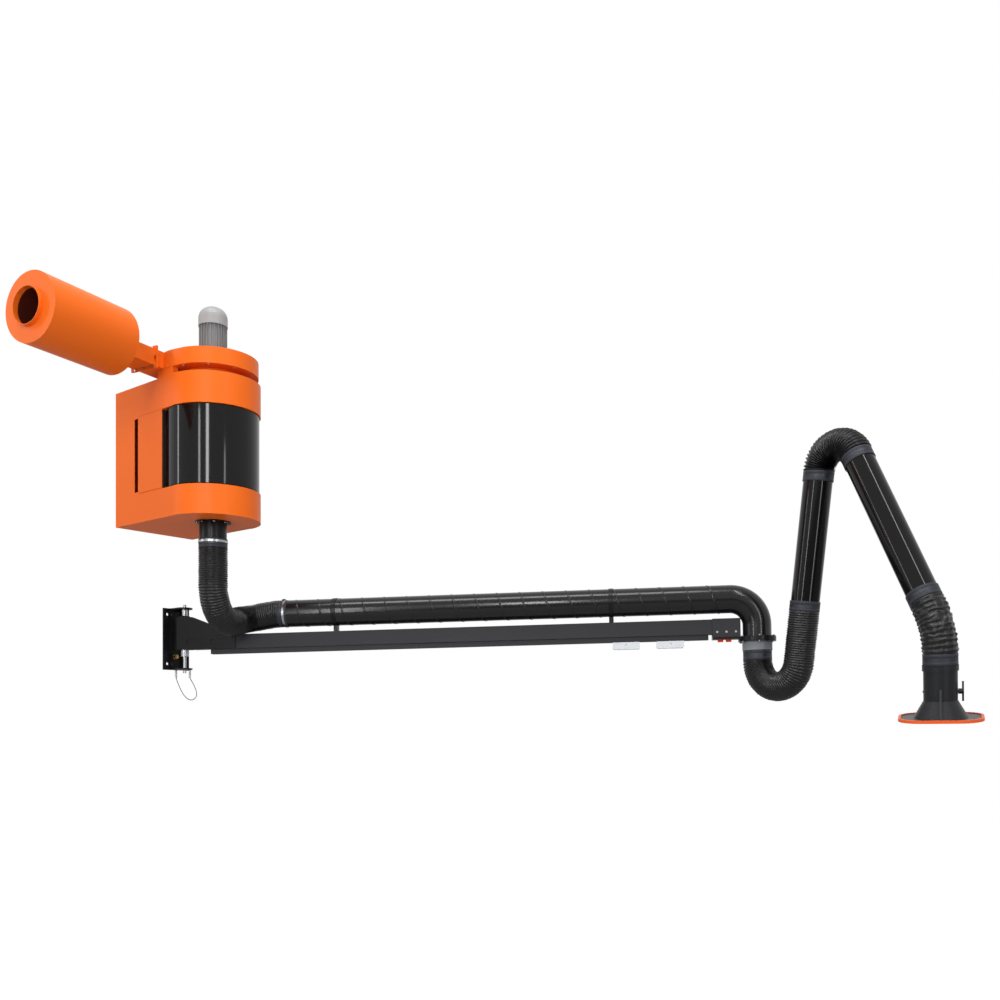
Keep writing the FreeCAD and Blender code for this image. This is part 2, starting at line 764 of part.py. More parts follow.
# Levels and lengths of the boom.
end_block_start = S.beam_end - S.end_block_length
rail_end = end_block_start - S.rail_end_gap
swivel_distance = S.beam_end + S.swivel_overhang
beam_bottom = S.beam_top - S.beam_height
rail_bottom = beam_bottom - S.rail_height
plate_top = beam_bottom - S.end_block_floor
plate_bottom = plate_top - S.swivel_plate_thickness
flange_top = plate_bottom - S.seat_gap
flange_bottom = flange_top - S.swivel_flange_thickness
clamp_step = flange_bottom - S.seat_gap
clamp_bottom = clamp_step - S.swivel_clamp_thickness
cuff_top = clamp_bottom - S.seat_gap * 2
hose_top = cuff_top - S.swivel_cuff_height

# Frames of the sub-assemblies.
UP = Vector(0, 0, 1)
ACROSS = Vector(0, 1, 0)
FILTER = Placement(Vector(S.filter_axis_distance.value, -S.filter_axis_offset.value, 0), Rotation())
OUTLET = FILTER.multiply(Placement(Vector(), Rotation(UP, S.outlet_turn.value)))
LEVEL_BOOM = Placement(Vector(S.pivot_distance.value, 0, 0), Rotation(UP, S.swing_rest.value))
BOOM = LEVEL_BOOM.multiply(Placement(Vector(), Rotation(ACROSS, -S.boom_rise.value)))
SWIVEL = BOOM.multiply(Placement(Vector(swivel_distance.value, 0, 0), Rotation()))
ARM = SWIVEL.multiply(Placement(Vector(), Rotation(UP, S.arm_turn.value)))
DUCT = BOOM.multiply(Placement(Vector(0, 0, S.duct_level.value), Rotation(ACROSS, 90)))
silencer_spot = Vector(
    (S.outlet_reach + S.silencer_gap).value,
    -S.silencer_axis_offset.value,
    (fan_low + S.fan_height / 2).value,
)
SILENCER = OUTLET.multiply(Placement(silencer_spot, Rotation(ACROSS, 90)))

# The middle line of the arm, and where its parts begin and end along it.
shoulder_turn = 180 - S.lower_arm_lean.value
elbow_turn = 180 - S.lower_arm_lean.value - S.upper_arm_lean.value
arm_route = planar_route(
    Vector(0, 0, hose_top.value),
    Vector(0, 0, -1),
    (
        S.shoulder_drop.value,
        (S.shoulder_bend.value, shoulder_turn, 0),
        S.lower_run.value,
        (S.elbow_bend.value, -elbow_turn, 0),
        S.upper_run.value,
        (S.wrist_bend.value, -S.wrist_turn.value, S.wrist_roll.value),
        S.wrist_drop.value,
    ),
)
arm_length = arm_route.length
lower_begin = S.shoulder_drop + S.shoulder_bend * math.radians(shoulder_turn)
lower_end = lower_begin + S.lower_run
upper_begin = lower_end + S.elbow_bend * math.radians(elbow_turn)
upper_end = upper_begin + S.upper_run
shoulder_at = (S.shoulder_drop + S.shoulder_bend * math.radians(90)).value
elbow_at = (lower_end.value + upper_begin.value) / 2
wrist_at = upper_end.value
wrist_axis = Rotation(arm_route.at(wrist_at)[1], S.wrist_roll.value).multVec(ACROSS)
neck_spot, neck_way = arm_route.at(arm_length)
neck_turn = Rotation(wrist_axis.cross(-neck_way), wrist_axis, -neck_way, "ZXY")
WRIST = ARM.multiply(Placement(neck_spot, neck_turn))
HOOD = WRIST.multiply(Placement(Vector(), Rotation(UP, S.hood_turn.value)))


def plenum(base, height, hole_below, hole_above):
    """A hollow box with a round front and two holes about the drum axis."""
    gauge = S.sheet_thickness
    inside = S.plenum_radius - gauge
    band = S.plenum_radius + S.front_band_step
    shell = fuse(
        block(S.filter_axis_distance, S.plenum_radius * 2, height, (wall_x, -S.plenum_radius, base)),
        cut(rod(band, height, (0, 0, base)), block(band, band * 2, height, (-band, -band, base))),
    )
    clear = height - gauge * 2
    return cut(
        shell,
        block(S.filter_axis_distance - gauge, inside * 2, clear, (wall_x + gauge, -inside, base + gauge)),
        rod(inside, clear, (0, 0, base + gauge)),
        rod(hole_below, gauge + S.cut_overrun * 2, (0, 0, base - S.cut_overrun)),
        rod(hole_above, gauge + S.cut_overrun * 2, (0, 0, base + height - gauge - S.cut_overrun)),
    )


def upper_plenum():
    """The upper plenum with the foot that carries the fan at one side."""
    neck_bore = S.fan_neck_radius - S.sheet_thickness
    start = (-S.fan_foot_front - S.fan_foot_length, -S.plenum_radius, unit_top)
    return fuse(
        plenum(drum_high, S.upper_plenum_height, S.drum_outlet_radius, neck_bore),
        block(S.fan_foot_length, S.fan_foot_width, S.fan_gap - S.seat_gap, start),
    )


def rear_column():
    """The rear column: a sheet box hollowed for the drum, with grip slots and panel seats."""
    gauge = S.sheet_thickness
    half = S.plenum_radius
    nest = S.drum_radius + S.drum_nest_gap
    tall = S.drum_window_height + S.cut_overrun * 2
    foot = drum_low - S.cut_overrun
    inside = cut(
        block(S.column_depth - gauge * 2, (half - gauge) * 2, tall, (wall_x + gauge, gauge - half, foot)),
        rod(nest + gauge, tall, (0, 0, foot)),
    )
    slot = block(
        S.grip_slot_width,
        half * 2 + S.cut_overrun * 2,
        S.drum_window_height - S.grip_slot_margin * 2,
        (wall_x + S.grip_slot_rear, -half - S.cut_overrun, drum_low + S.grip_slot_margin),
    )
    seats = []
    for y in (-half - S.cut_overrun, half - S.panel_seat):
        seats.append(
            block(
                S.column_depth - S.panel_rear + S.cut_overrun,
                S.panel_seat + S.cut_overrun,
                tall,
                (wall_x + S.panel_rear, y, foot),
            )
        )
    holes = []
    middle = drum_low + S.drum_window_height / 2
    for y in (-S.wall_hole_spacing_across / 2, S.wall_hole_spacing_across / 2):
        for z in (middle - S.wall_hole_spacing_up / 2, middle + S.wall_hole_spacing_up / 2):
            start = (wall_x - S.cut_overrun, y, z)
            holes.append(rod(S.wall_hole_radius, gauge + S.cut_overrun * 2, start, "x"))
    outside = block(S.column_depth, half * 2, S.drum_window_height, (wall_x, -half, drum_low))
    return cut(outside, rod(nest, tall, (0, 0, foot)), inside, slot, *seats, *holes)


def side_panel(side):
    """A side panel in its seat."""
    outer = S.plenum_radius + S.panel_proud
    y = -outer if side < 0 else S.plenum_radius - S.panel_seat
    return block(
        S.column_depth - S.panel_rear - S.seat_gap,
        S.panel_seat + S.panel_proud,
        S.drum_window_height - S.panel_margin * 2,
        (wall_x + S.panel_rear + S.seat_gap, y, drum_low + S.panel_margin),
    )


def filter_drum():
    """The drum: a sheet can with an inlet below and an outlet above."""
    base = drum_low + S.seal_thickness
    top = drum_high - S.seal_thickness
    wall = S.drum_wall
    return turned(
        (
            (S.drum_inlet_radius, base),
            (S.drum_radius, base),
            (S.drum_radius, top),
            (S.drum_outlet_radius, top),
            (S.drum_outlet_radius, top - wall),
            (S.drum_radius - wall, top - wall),
            (S.drum_radius - wall, base + wall),
            (S.drum_inlet_radius, base + wall),
        )
    )


def drum_seals():
    """A seal ring under and over the drum."""
    rings = []
    for hole, level in (
        (S.drum_inlet_radius, drum_low),
        (S.drum_outlet_radius, drum_high - S.seal_thickness),
    ):
        inner = hole + S.seal_inset
        rings.append(tube(inner + S.seal_width, inner, S.seal_thickness, (0, 0, level)))
    return group(*rings)


def filter_media():
    """The pleated paper ring inside the drum."""
    base = (drum_low + S.seal_thickness + S.drum_wall).value
    top = (drum_high - S.seal_thickness - S.drum_wall).value
    wall = S.pleat_radial_wall.value
    faces = []
    for drawn_in in (0, wall):
        radii = (S.pleat_outer_radius.value - drawn_in, S.pleat_inner_radius.value + wall - drawn_in)
        spots = []
        for i in range(2 * PLEATS + 1):
            angle = math.pi * i / PLEATS
            radius = radii[i % 2]
            spots.append(Vector(radius * math.cos(angle), radius * math.sin(angle), base))
        faces.append(Part.Face(Part.makePolygon(spots)))
    return from_shape(faces[0].cut(faces[1]).Faces[0].extrude(Vector(0, 0, top - base)))


def inlet_collar():
    """The flanged inlet collar under the lower plenum, with its screw holes."""
    foot = low - S.collar_length - S.collar_insert
    flange = low - S.collar_flange_thickness
    body = turned(
        (
            (spigot_bore, low),
            (S.collar_flange_radius, low),
            (S.collar_flange_radius, flange),
            (S.spigot_radius, flange),
            (S.spigot_radius, foot),
            (spigot_bore, foot),
        )
    )
    holes = []
    for x, y in ring_spots(COLLAR_SCREWS, S.collar_screw_circle):
        deep = S.collar_flange_thickness + S.cut_overrun * 2
        holes.append(rod(S.screw_radius + S.seat_gap, deep, (x, y, flange - S.cut_overrun)))
    return cut(body, *holes)


def outlet_section(length, start, inset, grow=0):
    """A block with the section of the fan outlet, drawn in by a sheet or grown by a flange."""
    wide = S.fan_radius + S.scroll_shift - S.outlet_inner_side
    return block(
        length,
        wide - inset * 2 + grow * 2,
        S.fan_height - inset * 2 + grow * 2,
        (start, inset - grow - S.fan_radius - S.scroll_shift, fan_low + inset - grow),
    )


def outlet_spots():
    """Screw spots around the outlet flanges."""
    wide = S.fan_radius + S.scroll_shift - S.outlet_inner_side
    outer = -S.fan_radius - S.scroll_shift
    edge = S.flange_width / 2
    spots = []
    for share in FLANGE_SCREW_SHARES:
        for level in (fan_low - edge, fan_high + edge):
            spots.append((outer + wide * share, level))
    for side in (outer - edge, edge - S.outlet_inner_side):
        spots.append((side, fan_low + S.fan_height / 2))
    return spots


def outlet_flange(start):
    """A flange frame around the fan outlet, with its screw holes."""
    gauge = S.sheet_thickness
    deep = S.flange_thickness + S.cut_overrun * 2
    cutters = [outlet_section(deep, start - S.cut_overrun, gauge)]
    for y, z in outlet_spots():
        cutters.append(rod(S.screw_radius + S.seat_gap, deep, (start - S.cut_overrun, y, z), "x"))
    return cut(outlet_section(S.flange_thickness, start, 0, S.flange_width), *cutters)


def scroll_solid(inset, base, height, reach):
    """The outline of the fan scroll, drawn in by a sheet."""
    radius = S.fan_radius - inset
    wide = S.fan_radius + S.scroll_shift - S.outlet_inner_side - inset * 2
    return (
        rod(radius, height, (0, 0, base)),
        rod(radius, height, (0, -S.scroll_shift, base)),
        block(radius * 2, S.scroll_shift, height, (-radius, -S.scroll_shift, base)),
        block(reach, wide, height, (0, inset - S.fan_radius - S.scroll_shift, base)),
    )


def fan_scroll():
    """The fan scroll with its neck and outlet flange."""
    gauge = S.sheet_thickness
    shell = cut(
        fuse(*scroll_solid(as_size(0), fan_low, S.fan_height, S.outlet_reach)),
        *scroll_solid(gauge, fan_low + gauge, S.fan_height - gauge * 2, S.outlet_reach + S.cut_overrun),
        rod(S.fan_neck_radius - gauge, gauge + S.cut_overrun * 2, (0, 0, fan_low - S.cut_overrun)),
        rod(S.shaft_radius + S.shaft_hole_gap, S.fan_height, (0, 0, fan_high - S.cut_overrun)),
    )
    neck = tube(S.fan_neck_radius, S.fan_neck_radius - gauge, S.fan_gap, (0, 0, unit_top))
    return fuse(shell, neck, outlet_flange(S.outlet_reach - S.flange_thickness))


def outlet_duct():
    """The flanged duct between the fan and the silencer."""
    gauge = S.sheet_thickness
    long = S.silencer_gap + S.cut_overrun * 2
    duct = cut(
        outlet_section(S.silencer_gap, S.outlet_reach, as_size(0)),
        outlet_section(long, S.outlet_reach - S.cut_overrun, gauge),
    )
    return fuse(duct, outlet_flange(S.outlet_reach))


def screw(head_at, head_axis, shank_at, shank_length):
    """A hexagon screw whose shank starts at its own spot."""
    return fuse(
        hexagon(S.screw_head_radius, S.screw_head_height, head_at, head_axis),
        rod(S.screw_radius, shank_length, shank_at, head_axis),
    )


def housing_screws():
    """The screws of the inlet collar, the fan underside and the outlet flanges."""
    screws = []
    flange = low - S.collar_flange_thickness
    for x, y in ring_spots(COLLAR_SCREWS, S.collar_screw_circle):
        screws.append(
            screw((x, y, flange - S.screw_head_height), "z", (x, y, flange), S.collar_flange_thickness)
        )
    for x, y in ring_spots(FAN_SCREWS, S.fan_screw_circle):
        spot = (x, y, fan_low - S.screw_head_height)
        screws.append(hexagon(S.screw_head_radius, S.screw_head_height, spot))
    for y, z in outlet_spots():
        start = S.outlet_reach - S.flange_thickness
        head = S.outlet_reach + S.flange_thickness
        screws.append(screw((head, y, z), "x", (start, y, z), S.flange_thickness * 2))
    return group(*screws)


def silencer_shell():
    """The silencer can with its rear inlet and front collar."""
    wall = S.silencer_wall
    long = S.silencer_length
    body = turned(
        (
            (0, 0),
            (S.silencer_radius, 0),
            (S.silencer_radius, long),
            (S.silencer_bore_radius + wall, long),
            (S.silencer_bore_radius + wall, long + S.silencer_collar_length),
            (S.silencer_bore_radius, long + S.silencer_collar_length),
            (S.silencer_bore_radius, long - wall),
            (S.silencer_radius - wall, long - wall),
            (S.silencer_radius - wall, wall),
            (0, wall),
        )
    )
    gauge = S.sheet_thickness
    wide = S.fan_radius + S.scroll_shift - S.outlet_inner_side - gauge * 2
    tall = S.fan_height - gauge * 2
    deep = wall + S.cut_overrun * 2
    side = gauge - S.fan_radius - S.scroll_shift + S.silencer_axis_offset
    return cut(body, block(tall, wide, deep, (-tall / 2, side, -S.cut_overrun)))


def silencer_core():
    """The perforated core tube behind the silencer opening."""
    bore = S.silencer_bore_radius
    length = S.silencer_length - S.silencer_wall - S.core_start
    return tube(bore + S.silencer_wall, bore, length, (0, 0, S.core_start))


def impeller():
    """The fan wheel: hub, back disc, swept blades and front ring."""
    bore = S.shaft_radius + S.run_gap
    plate = S.impeller_plate
    body = turned(
        (
            (bore, impeller_low),
            (S.impeller_hub_radius, impeller_low),
            (S.impeller_hub_radius, impeller_high - plate),
            (S.impeller_radius, impeller_high - plate),
            (S.impeller_radius, impeller_high),
            (bore, impeller_high),
        )
    )
    ring = polygon_sketch(
        body,
        "XZ_Plane",
        (
            (S.impeller_eye_radius, impeller_low),
            (S.impeller_radius, impeller_low),
            (S.impeller_radius, impeller_low + plate),
            (S.impeller_eye_radius, impeller_low + plate),
        ),
    )
    along = (math.cos(math.radians(BLADE_SWEEP_DEG)), math.sin(math.radians(BLADE_SWEEP_DEG)))
    long, thick = S.blade_length, S.blade_thickness
    root = (S.blade_start, as_size(0))
    tip = (root[0] + long * along[0], root[1] + long * along[1])
    outline = polygon_sketch(
        body,
        "XY_Plane",
        (
            root,
            tip,
            (tip[0] - thick * along[1], tip[1] + thick * along[0]),
            (root[0] - thick * along[1], root[1] + thick * along[0]),
        ),
        impeller_low + plate / 2,
    )
    blade = pad(body, outline, impeller_high - impeller_low - plate)
    around(body, outline, blade, IMPELLER_BLADES)
    front = body.newObject("PartDesign::Revolution", "front_ring")
    front.Profile = ring
    front.ReferenceAxis = (ring, ["V_Axis"])
    front.Angle = 360
    return body


def motor_body():
    """The finned motor body on its foot flange, bored for the shaft."""
    body = new_body()
    pad(body, circle_sketch(body, "XY_Plane", S.motor_flange_radius, fan_high), S.motor_flange_height)
    pad(body, circle_sketch(body, "XY_Plane", S.motor_radius, fan_high), S.motor_height)
    half = S.motor_fin_thickness / 2
    reach = S.cowl_radius - S.cowl_wall - S.seat_gap
    base = fan_high + S.motor_flange_height
    outline = polygon_sketch(
        body,
        "XY_Plane",
        ((S.motor_radius / 2, -half), (reach, -half), (reach, half), (S.motor_radius / 2, half)),
        base,
    )
    around(body, outline, pad(body, outline, S.motor_height - S.motor_flange_height), MOTOR_FINS)
    bore = circle_sketch(body, "XY_Plane", S.shaft_radius + S.run_gap, fan_high)
    pocket_through(body, bore)
    return body


def cowl_curve(radius, top, rounding):
    """Corner points of the rounded top edge of the cowl."""
    points = []
    for i in range(COWL_STEPS + 1):
        angle = math.pi / 2 * i / COWL_STEPS
        points.append(
            (radius - rounding + rounding * math.cos(angle), top - rounding + rounding * math.sin(angle))
        )
    return points


def motor_cowl():
    """The rounded cowl over the motor end."""
    foot = motor_high - S.cowl_overlap
    top = foot + S.cowl_height
    wall = S.cowl_wall
    outside = cowl_curve(S.cowl_radius, top, S.cowl_rounding)
    inside = cowl_curve(S.cowl_radius - wall, top - wall, S.cowl_rounding - wall)
    return turned(
        [(S.cowl_radius, foot)]
        + outside
        + [(0, top), (0, top - wall)]
        + inside[::-1]
        + [(S.cowl_radius - wall, foot)]
    )


def cooling_fan():
    """The small fan under the motor cowl."""
    body = new_body()
    base = motor_high + S.cooling_fan_lift
    pad(body, circle_sketch(body, "XY_Plane", S.cooling_hub_radius, base), S.cooling_fan_height)
    half = S.motor_fin_thickness / 2
    outline = polygon_sketch(
        body,
        "XY_Plane",
        (
            (S.cooling_hub_radius / 2, -half),
            (S.cooling_fan_radius, -half),
            (S.cooling_fan_radius, half),
            (S.cooling_hub_radius / 2, half),
        ),
        base,
    )
    around(body, outline, pad(body, outline, S.cooling_fan_height), COOLING_BLADES)
    pocket_through(body, circle_sketch(body, "XY_Plane", S.shaft_radius + S.run_gap, base))
    return body


def boom_bracket():
    """The wall plate with two lugs, two ribs and its wall bolt holes."""
    half_w, half_h = S.bracket_width / 2, S.bracket_height / 2
    deep = S.bracket_thickness
    pieces = [block(deep, S.bracket_width, S.bracket_height, (0, -half_w, -half_h))]
    for level in (-half_h, half_h - S.lug_thickness):
        pieces.append(block(S.pivot_distance, S.lug_width, S.lug_thickness, (0, -S.lug_width / 2, level)))
        pieces.append(rod(S.lug_width / 2, S.lug_thickness, (S.pivot_distance, 0, level)))
    rib = S.bracket_rib_thickness
    for y in (-S.bracket_rib_spread / 2, S.bracket_rib_spread / 2 - rib):
        pieces.append(block(deep + S.bracket_rib_depth, rib, S.bracket_height, (0, y, -half_h)))
    pin = S.pivot_radius + S.run_gap
    tall = S.bracket_height + S.cut_overrun * 2
    cutters = [rod(pin, tall, (S.pivot_distance, 0, -half_h - S.cut_overrun))]
    for y in (-S.bracket_hole_spacing_across / 2, S.bracket_hole_spacing_across / 2):
        for z in (-S.bracket_hole_spacing_up / 2, S.bracket_hole_spacing_up / 2):
            start = (-S.cut_overrun, y, z)
            cutters.append(rod(S.bracket_hole_radius, deep + S.cut_overrun * 2, start, "x"))
    shank = S.brass_bolt_radius + S.seat_gap
    start = (-S.cut_overrun, S.brass_bolt_offset, S.brass_bolt_level)
    cutters.append(rod(shank, deep + S.cut_overrun * 2, start, "x"))
    return cut(fuse(*pieces), *cutters)


def brass_bolt():
    """The brass bolt through the wall plate."""
    y, z = S.brass_bolt_offset, S.brass_bolt_level
    length = S.bracket_thickness + S.brass_bolt_length
    head = (S.bracket_thickness + S.brass_bolt_length - S.brass_head_height, y, z)
    nut = (S.bracket_thickness, y, z)
    return fuse(
        rod(S.brass_bolt_radius, length, (0, y, z), "x"),
        hexagon(S.brass_head_radius, S.brass_head_height, head, "x"),
        rod(S.brass_head_radius, S.screw_head_height, nut, "x"),
    )


def pivot_bushes():
    """The spacer over and the thrust bush under the boom root."""
    bore = S.pivot_radius + S.run_gap
    top = S.bracket_height / 2 - S.lug_thickness - S.run_gap
    start = S.root_top + S.run_gap
    base = S.root_bottom - S.run_gap - S.lower_bush_height
    return group(
        tube(S.upper_bush_radius, bore, top - start, (S.pivot_distance, 0, start)),
        tube(S.lower_bush_radius, bore, S.lower_bush_height, (S.pivot_distance, 0, base)),
    )


def boom_root():
    """The boom root: two pressed cheek plates, two cross plates and the pivot sleeve."""
    body = new_body()
    nose = S.root_top - S.root_rear * ROOT_NOSE_SHARE
    end_top = S.beam_top + S.root_plate
    outline = (
        (-S.root_rear, S.root_bottom),
        (S.root_length, S.root_bottom + S.root_plate),
        (S.root_length, end_top),
        (S.root_top_run, S.root_top - S.root_plate),
        (0, S.root_top),
        (-S.root_rear, nose),
    )
    half = S.beam_width / 2
    for lift in (half, -half - S.root_plate):
        pad(body, polygon_sketch(body, "XZ_Plane", outline, lift), S.root_plate)
    pieces = [body]
    span = S.root_rear + S.root_top_run
    for level in (S.root_bottom, nose - S.root_plate * 2):
        pieces.append(block(span, S.beam_width, S.root_plate, (-S.root_rear, -half, level)))
    tall = S.root_top - S.root_bottom
    pieces.append(rod(S.root_sleeve_radius, tall, (0, 0, S.root_bottom)))
    long = tall + S.cut_overrun * 2
    cutters = [rod(S.pivot_radius + S.run_gap, long, (0, 0, S.root_bottom - S.cut_overrun))]
    for start in (S.bead_first, S.bead_second):
        cutters += pressed_slot(start)
    return cut(fuse(*pieces), *cutters)


def pressed_slot(start):
    """The cutters of one round-ended pressed slot on both cheeks."""
    radius = S.bead_height / 2
    depth = S.bead_depth + S.cut_overrun
    face = S.beam_width / 2 + S.root_plate - S.bead_depth
    tools = []
    for y in (-face - depth, face):
        run = S.bead_length - radius * 2
        tools.append(block(run, depth, S.bead_height, (start + radius, y, S.bead_level - radius)))
        tools.append(rod(radius, depth, (start + radius, y, S.bead_level), "y"))
        tools.append(rod(radius, depth, (start + radius + run, y, S.bead_level), "y"))
    return tools


def boom_beam():
    """The box beam of the boom."""
    long = S.beam_end - S.beam_start
    wall = S.beam_wall
    half = S.beam_width / 2
    inner = S.beam_width - wall * 2
    start = S.beam_start - S.cut_overrun
    return cut(
        block(long, S.beam_width, S.beam_height, (S.beam_start, -half, beam_bottom)),
        block(
            long + S.cut_overrun * 2,
            inner,
            S.beam_height - wall * 2,
            (start, -inner / 2, beam_bottom + wall),
        ),
    )


def glider_rail():
    """The slotted rail under the beam."""
    body = new_body()
    half, slot, wall = S.rail_width / 2, S.rail_slot / 2, S.rail_wall
    outline = (
        (-half, beam_bottom),
        (-half, rail_bottom),
        (-slot, rail_bottom),
        (-slot, rail_bottom + wall),
        (wall - half, rail_bottom + wall),
        (wall - half, beam_bottom - wall),
        (half - wall, beam_bottom - wall),
        (half - wall, rail_bottom + wall),
        (slot, rail_bottom + wall),
        (slot, rail_bottom),
        (half, rail_bottom),
        (half, beam_bottom),
    )
    pad(body, polygon_sketch(body, "YZ_Plane", outline, S.rail_start), rail_end - S.rail_start)
    return body


def glider(middle):
    """A glider: a chamfered block under the rail with a neck and head inside it."""
    body = new_body()
    half = S.glider_length / 2
    top = rail_bottom - S.seat_gap
    foot = top - S.glider_height
    slope = S.glider_chamfer
    outline = (
        (middle - half, top),
        (middle - half, foot + slope),
        (middle - half + slope, foot),
        (middle + half - slope, foot),
        (middle + half, foot + slope),
        (middle + half, top),
    )
    pad(body, polygon_sketch(body, "XZ_Plane", outline), S.glider_width, True)
    run = S.glider_length * GLIDER_HEAD_SHARE
    head_low = rail_bottom + S.rail_wall + S.seat_gap
    head_high = beam_bottom - S.rail_wall - S.seat_gap
    head_wide = S.rail_width - S.rail_wall * 2 - S.seat_gap * 2
    neck = block(run, S.glider_neck, head_high - foot, (middle - run / 2, -S.glider_neck / 2, foot))
    head = block(run, head_wide, head_high - head_low, (middle - run / 2, -head_wide / 2, head_low))
    across = S.glider_width + S.cut_overrun * 2
    eye = rod(S.glider_hole_radius, across, (middle, -across / 2, foot + S.glider_height / 2), "y")
    return cut(fuse(body, neck, head), eye)


def end_screw_spots():
    """Where the end block screws sit along the boom."""
    first = end_block_start + S.end_bolt_pitch / 2
    return [first + S.end_bolt_pitch * i for i in range(END_BOLTS)]


def end_block():
    """The cap on the beam end."""
    half = S.beam_width / 2 + S.seat_gap
    wide = half + S.end_block_wall
    stop = S.beam_end + S.seat_gap
    top = S.beam_top + S.seat_gap + S.end_block_wall / 2
    shell = block(
        stop + S.end_block_cap - end_block_start,
        wide * 2,
        top - plate_top,
        (end_block_start, -wide, plate_top),
    )
    seat = block(
        stop - end_block_start + S.cut_overrun,
        half * 2,
        S.beam_height + S.seat_gap * 2,
        (end_block_start - S.cut_overrun, -half, beam_bottom - S.seat_gap),
    )
    holes = []
    for x in end_screw_spots():
        long = wide * 2 + S.cut_overrun * 2
        holes.append(rod(S.screw_radius + S.seat_gap, long, (x, -long / 2, S.end_bolt_level), "y"))
    return cut(shell, seat, *holes)


def swivel_spots():
    """Where the swivel bolts sit about the swivel axis."""
    return ring_spots(SWIVEL_BOLTS, S.swivel_bolt_circle, 180.0 / SWIVEL_BOLTS)


def boom_bolts():
    """The end block screws and the swivel bolts."""
    bolts = []
    face = S.beam_width / 2 + S.seat_gap + S.end_block_wall
    for x in end_screw_spots():
        z = S.end_bolt_level
        inner = face - S.end_block_wall
        bolts.append(screw((x, face, z), "y", (x, inner, z), S.end_block_wall))
        bolts.append(screw((x, -face - S.screw_head_height, z), "y", (x, -face, z), S.end_block_wall))
    tall = plate_top - clamp_bottom
    for x, y in swivel_spots():
        x = x + swivel_distance
        shank = rod(S.screw_radius, tall, (x, y, clamp_bottom))
        head = hexagon(S.screw_head_radius, S.screw_head_height, (x, y, plate_top))
        nut_at = (x, y, clamp_bottom - S.screw_head_height)
        bolts.append(fuse(shank, head, hexagon(S.screw_head_radius, S.screw_head_height, nut_at)))
    return group(*bolts)


def rail_buffers():
    """Two rubber buffers under the swivel plate, at the rail end."""
    buffers = []
    for i in range(2):
        start = end_block_start + S.buffer_pitch * (i + 1) - S.buffer_length / 2
        at = (start, -S.buffer_width / 2, plate_bottom - S.buffer_height)
        buffers.append(block(S.buffer_length, S.buffer_width, S.buffer_height, at))
    return group(*buffers)


def swivel_plate():
    """The plate that carries the arm under the end block."""
    half = S.swivel_plate_width / 2
    thick = S.swivel_plate_thickness
    long = swivel_distance - end_block_start
    tall = thick + S.cut_overrun * 2
    foot = plate_bottom - S.cut_overrun
    cutters = [rod(S.duct_radius + S.seat_gap, tall, (swivel_distance, 0, foot))]
    for x, y in swivel_spots():
        cutters.append(rod(S.screw_radius + S.seat_gap, tall, (x + swivel_distance, y, foot)))
    plate = fuse(
        block(long, S.swivel_plate_width, thick, (end_block_start, -half, plate_bottom)),
        rod(S.swivel_radius, thick, (swivel_distance, 0, plate_bottom)),
    )
    return cut(plate, *cutters)


def swivel_clamp_ring():
    """The stepped ring that keeps the turning flange under the swivel plate."""
    inner = S.spigot_radius + S.spigot_wall
    rim = S.swivel_flange_radius + S.seat_gap
    body = turned(
        (
            (inner, clamp_bottom),
            (S.swivel_radius, clamp_bottom),
            (S.swivel_radius, plate_bottom),
            (rim, plate_bottom),
            (rim, clamp_step),
            (inner, clamp_step),
        )
    )
    tall = plate_bottom - clamp_bottom + S.cut_overrun * 2
    holes = []
    for x, y in swivel_spots():
        holes.append(rod(S.screw_radius + S.seat_gap, tall, (x, y, clamp_bottom - S.cut_overrun)))
    return cut(body, *holes)


def swivel_ring():
    """The turning flange with the hose spigot."""
    foot = hose_top - S.tube_insert
    return turned(
        (
            (spigot_bore, flange_top),
            (S.swivel_flange_radius, flange_top),
            (S.swivel_flange_radius, flange_bottom),
            (S.spigot_radius, flange_bottom),
            (S.spigot_radius, foot),
            (spigot_bore, foot),
        )
    )


def boom_duct():
    """The duct along the boom, necked down to a hose seat at its start."""
    wall = S.duct_wall
    end = swivel_distance - S.elbow_radius
    start = S.duct_start - S.duct_spigot_length
    neck = S.spigot_radius - wall
    return turned(
        (
            (neck, start),
            (S.spigot_radius, start),
            (S.spigot_radius, S.duct_start),
            (S.duct_radius, S.duct_start),
            (S.duct_radius, end),
            (S.duct_radius - wall, end),
            (S.duct_radius - wall, S.duct_start + wall),
            (neck, S.duct_start + wall),
        )
    )


def duct_elbow():
    """The elbow that turns the duct down through the swivel plate."""
    start = Vector((swivel_distance - S.elbow_radius).value, 0, S.duct_level.value)
    drop = (S.duct_level - S.elbow_radius - plate_bottom).value
    route = planar_route(start, Vector(1, 0, 0), ((S.elbow_radius.value, -90, 0), drop))
    frame = stations(route, [0], ACROSS)[0]
    path = route.wire(0, route.length)
    skins = []
    for radius in (S.duct_radius, S.duct_radius - S.duct_wall):
        skins.append(path.makePipeShell([circle_at(frame, radius.value)], True, False))
    return from_shape(skins[0].cut(skins[1]))


def duct_straps():
    """Two straps with posts that hold the duct over the beam."""
    straps = []
    inner = S.duct_radius + S.seat_gap
    wide = S.strap_width
    post_top = S.duct_level - S.duct_radius + S.cut_overrun
    for middle in (S.strap_first, S.strap_second):
        start = middle - wide / 2
        ring = rod(inner + S.strap_thickness, wide, (start, 0, S.duct_level), "x")
        post = block(
            wide,
            S.strap_post_width,
            post_top - S.beam_top,
            (start, -S.strap_post_width / 2, S.beam_top),
        )
        straps.append(cut(fuse(ring, post), rod(inner, wide, (start, 0, S.duct_level), "x")))
    return group(*straps)


def hose_band(at, axis):
    """A clamp band around a hose cuff."""
    inner = cuff_radius + S.seat_gap
    return tube(inner + S.band_thickness, inner, S.band_width, at, axis)


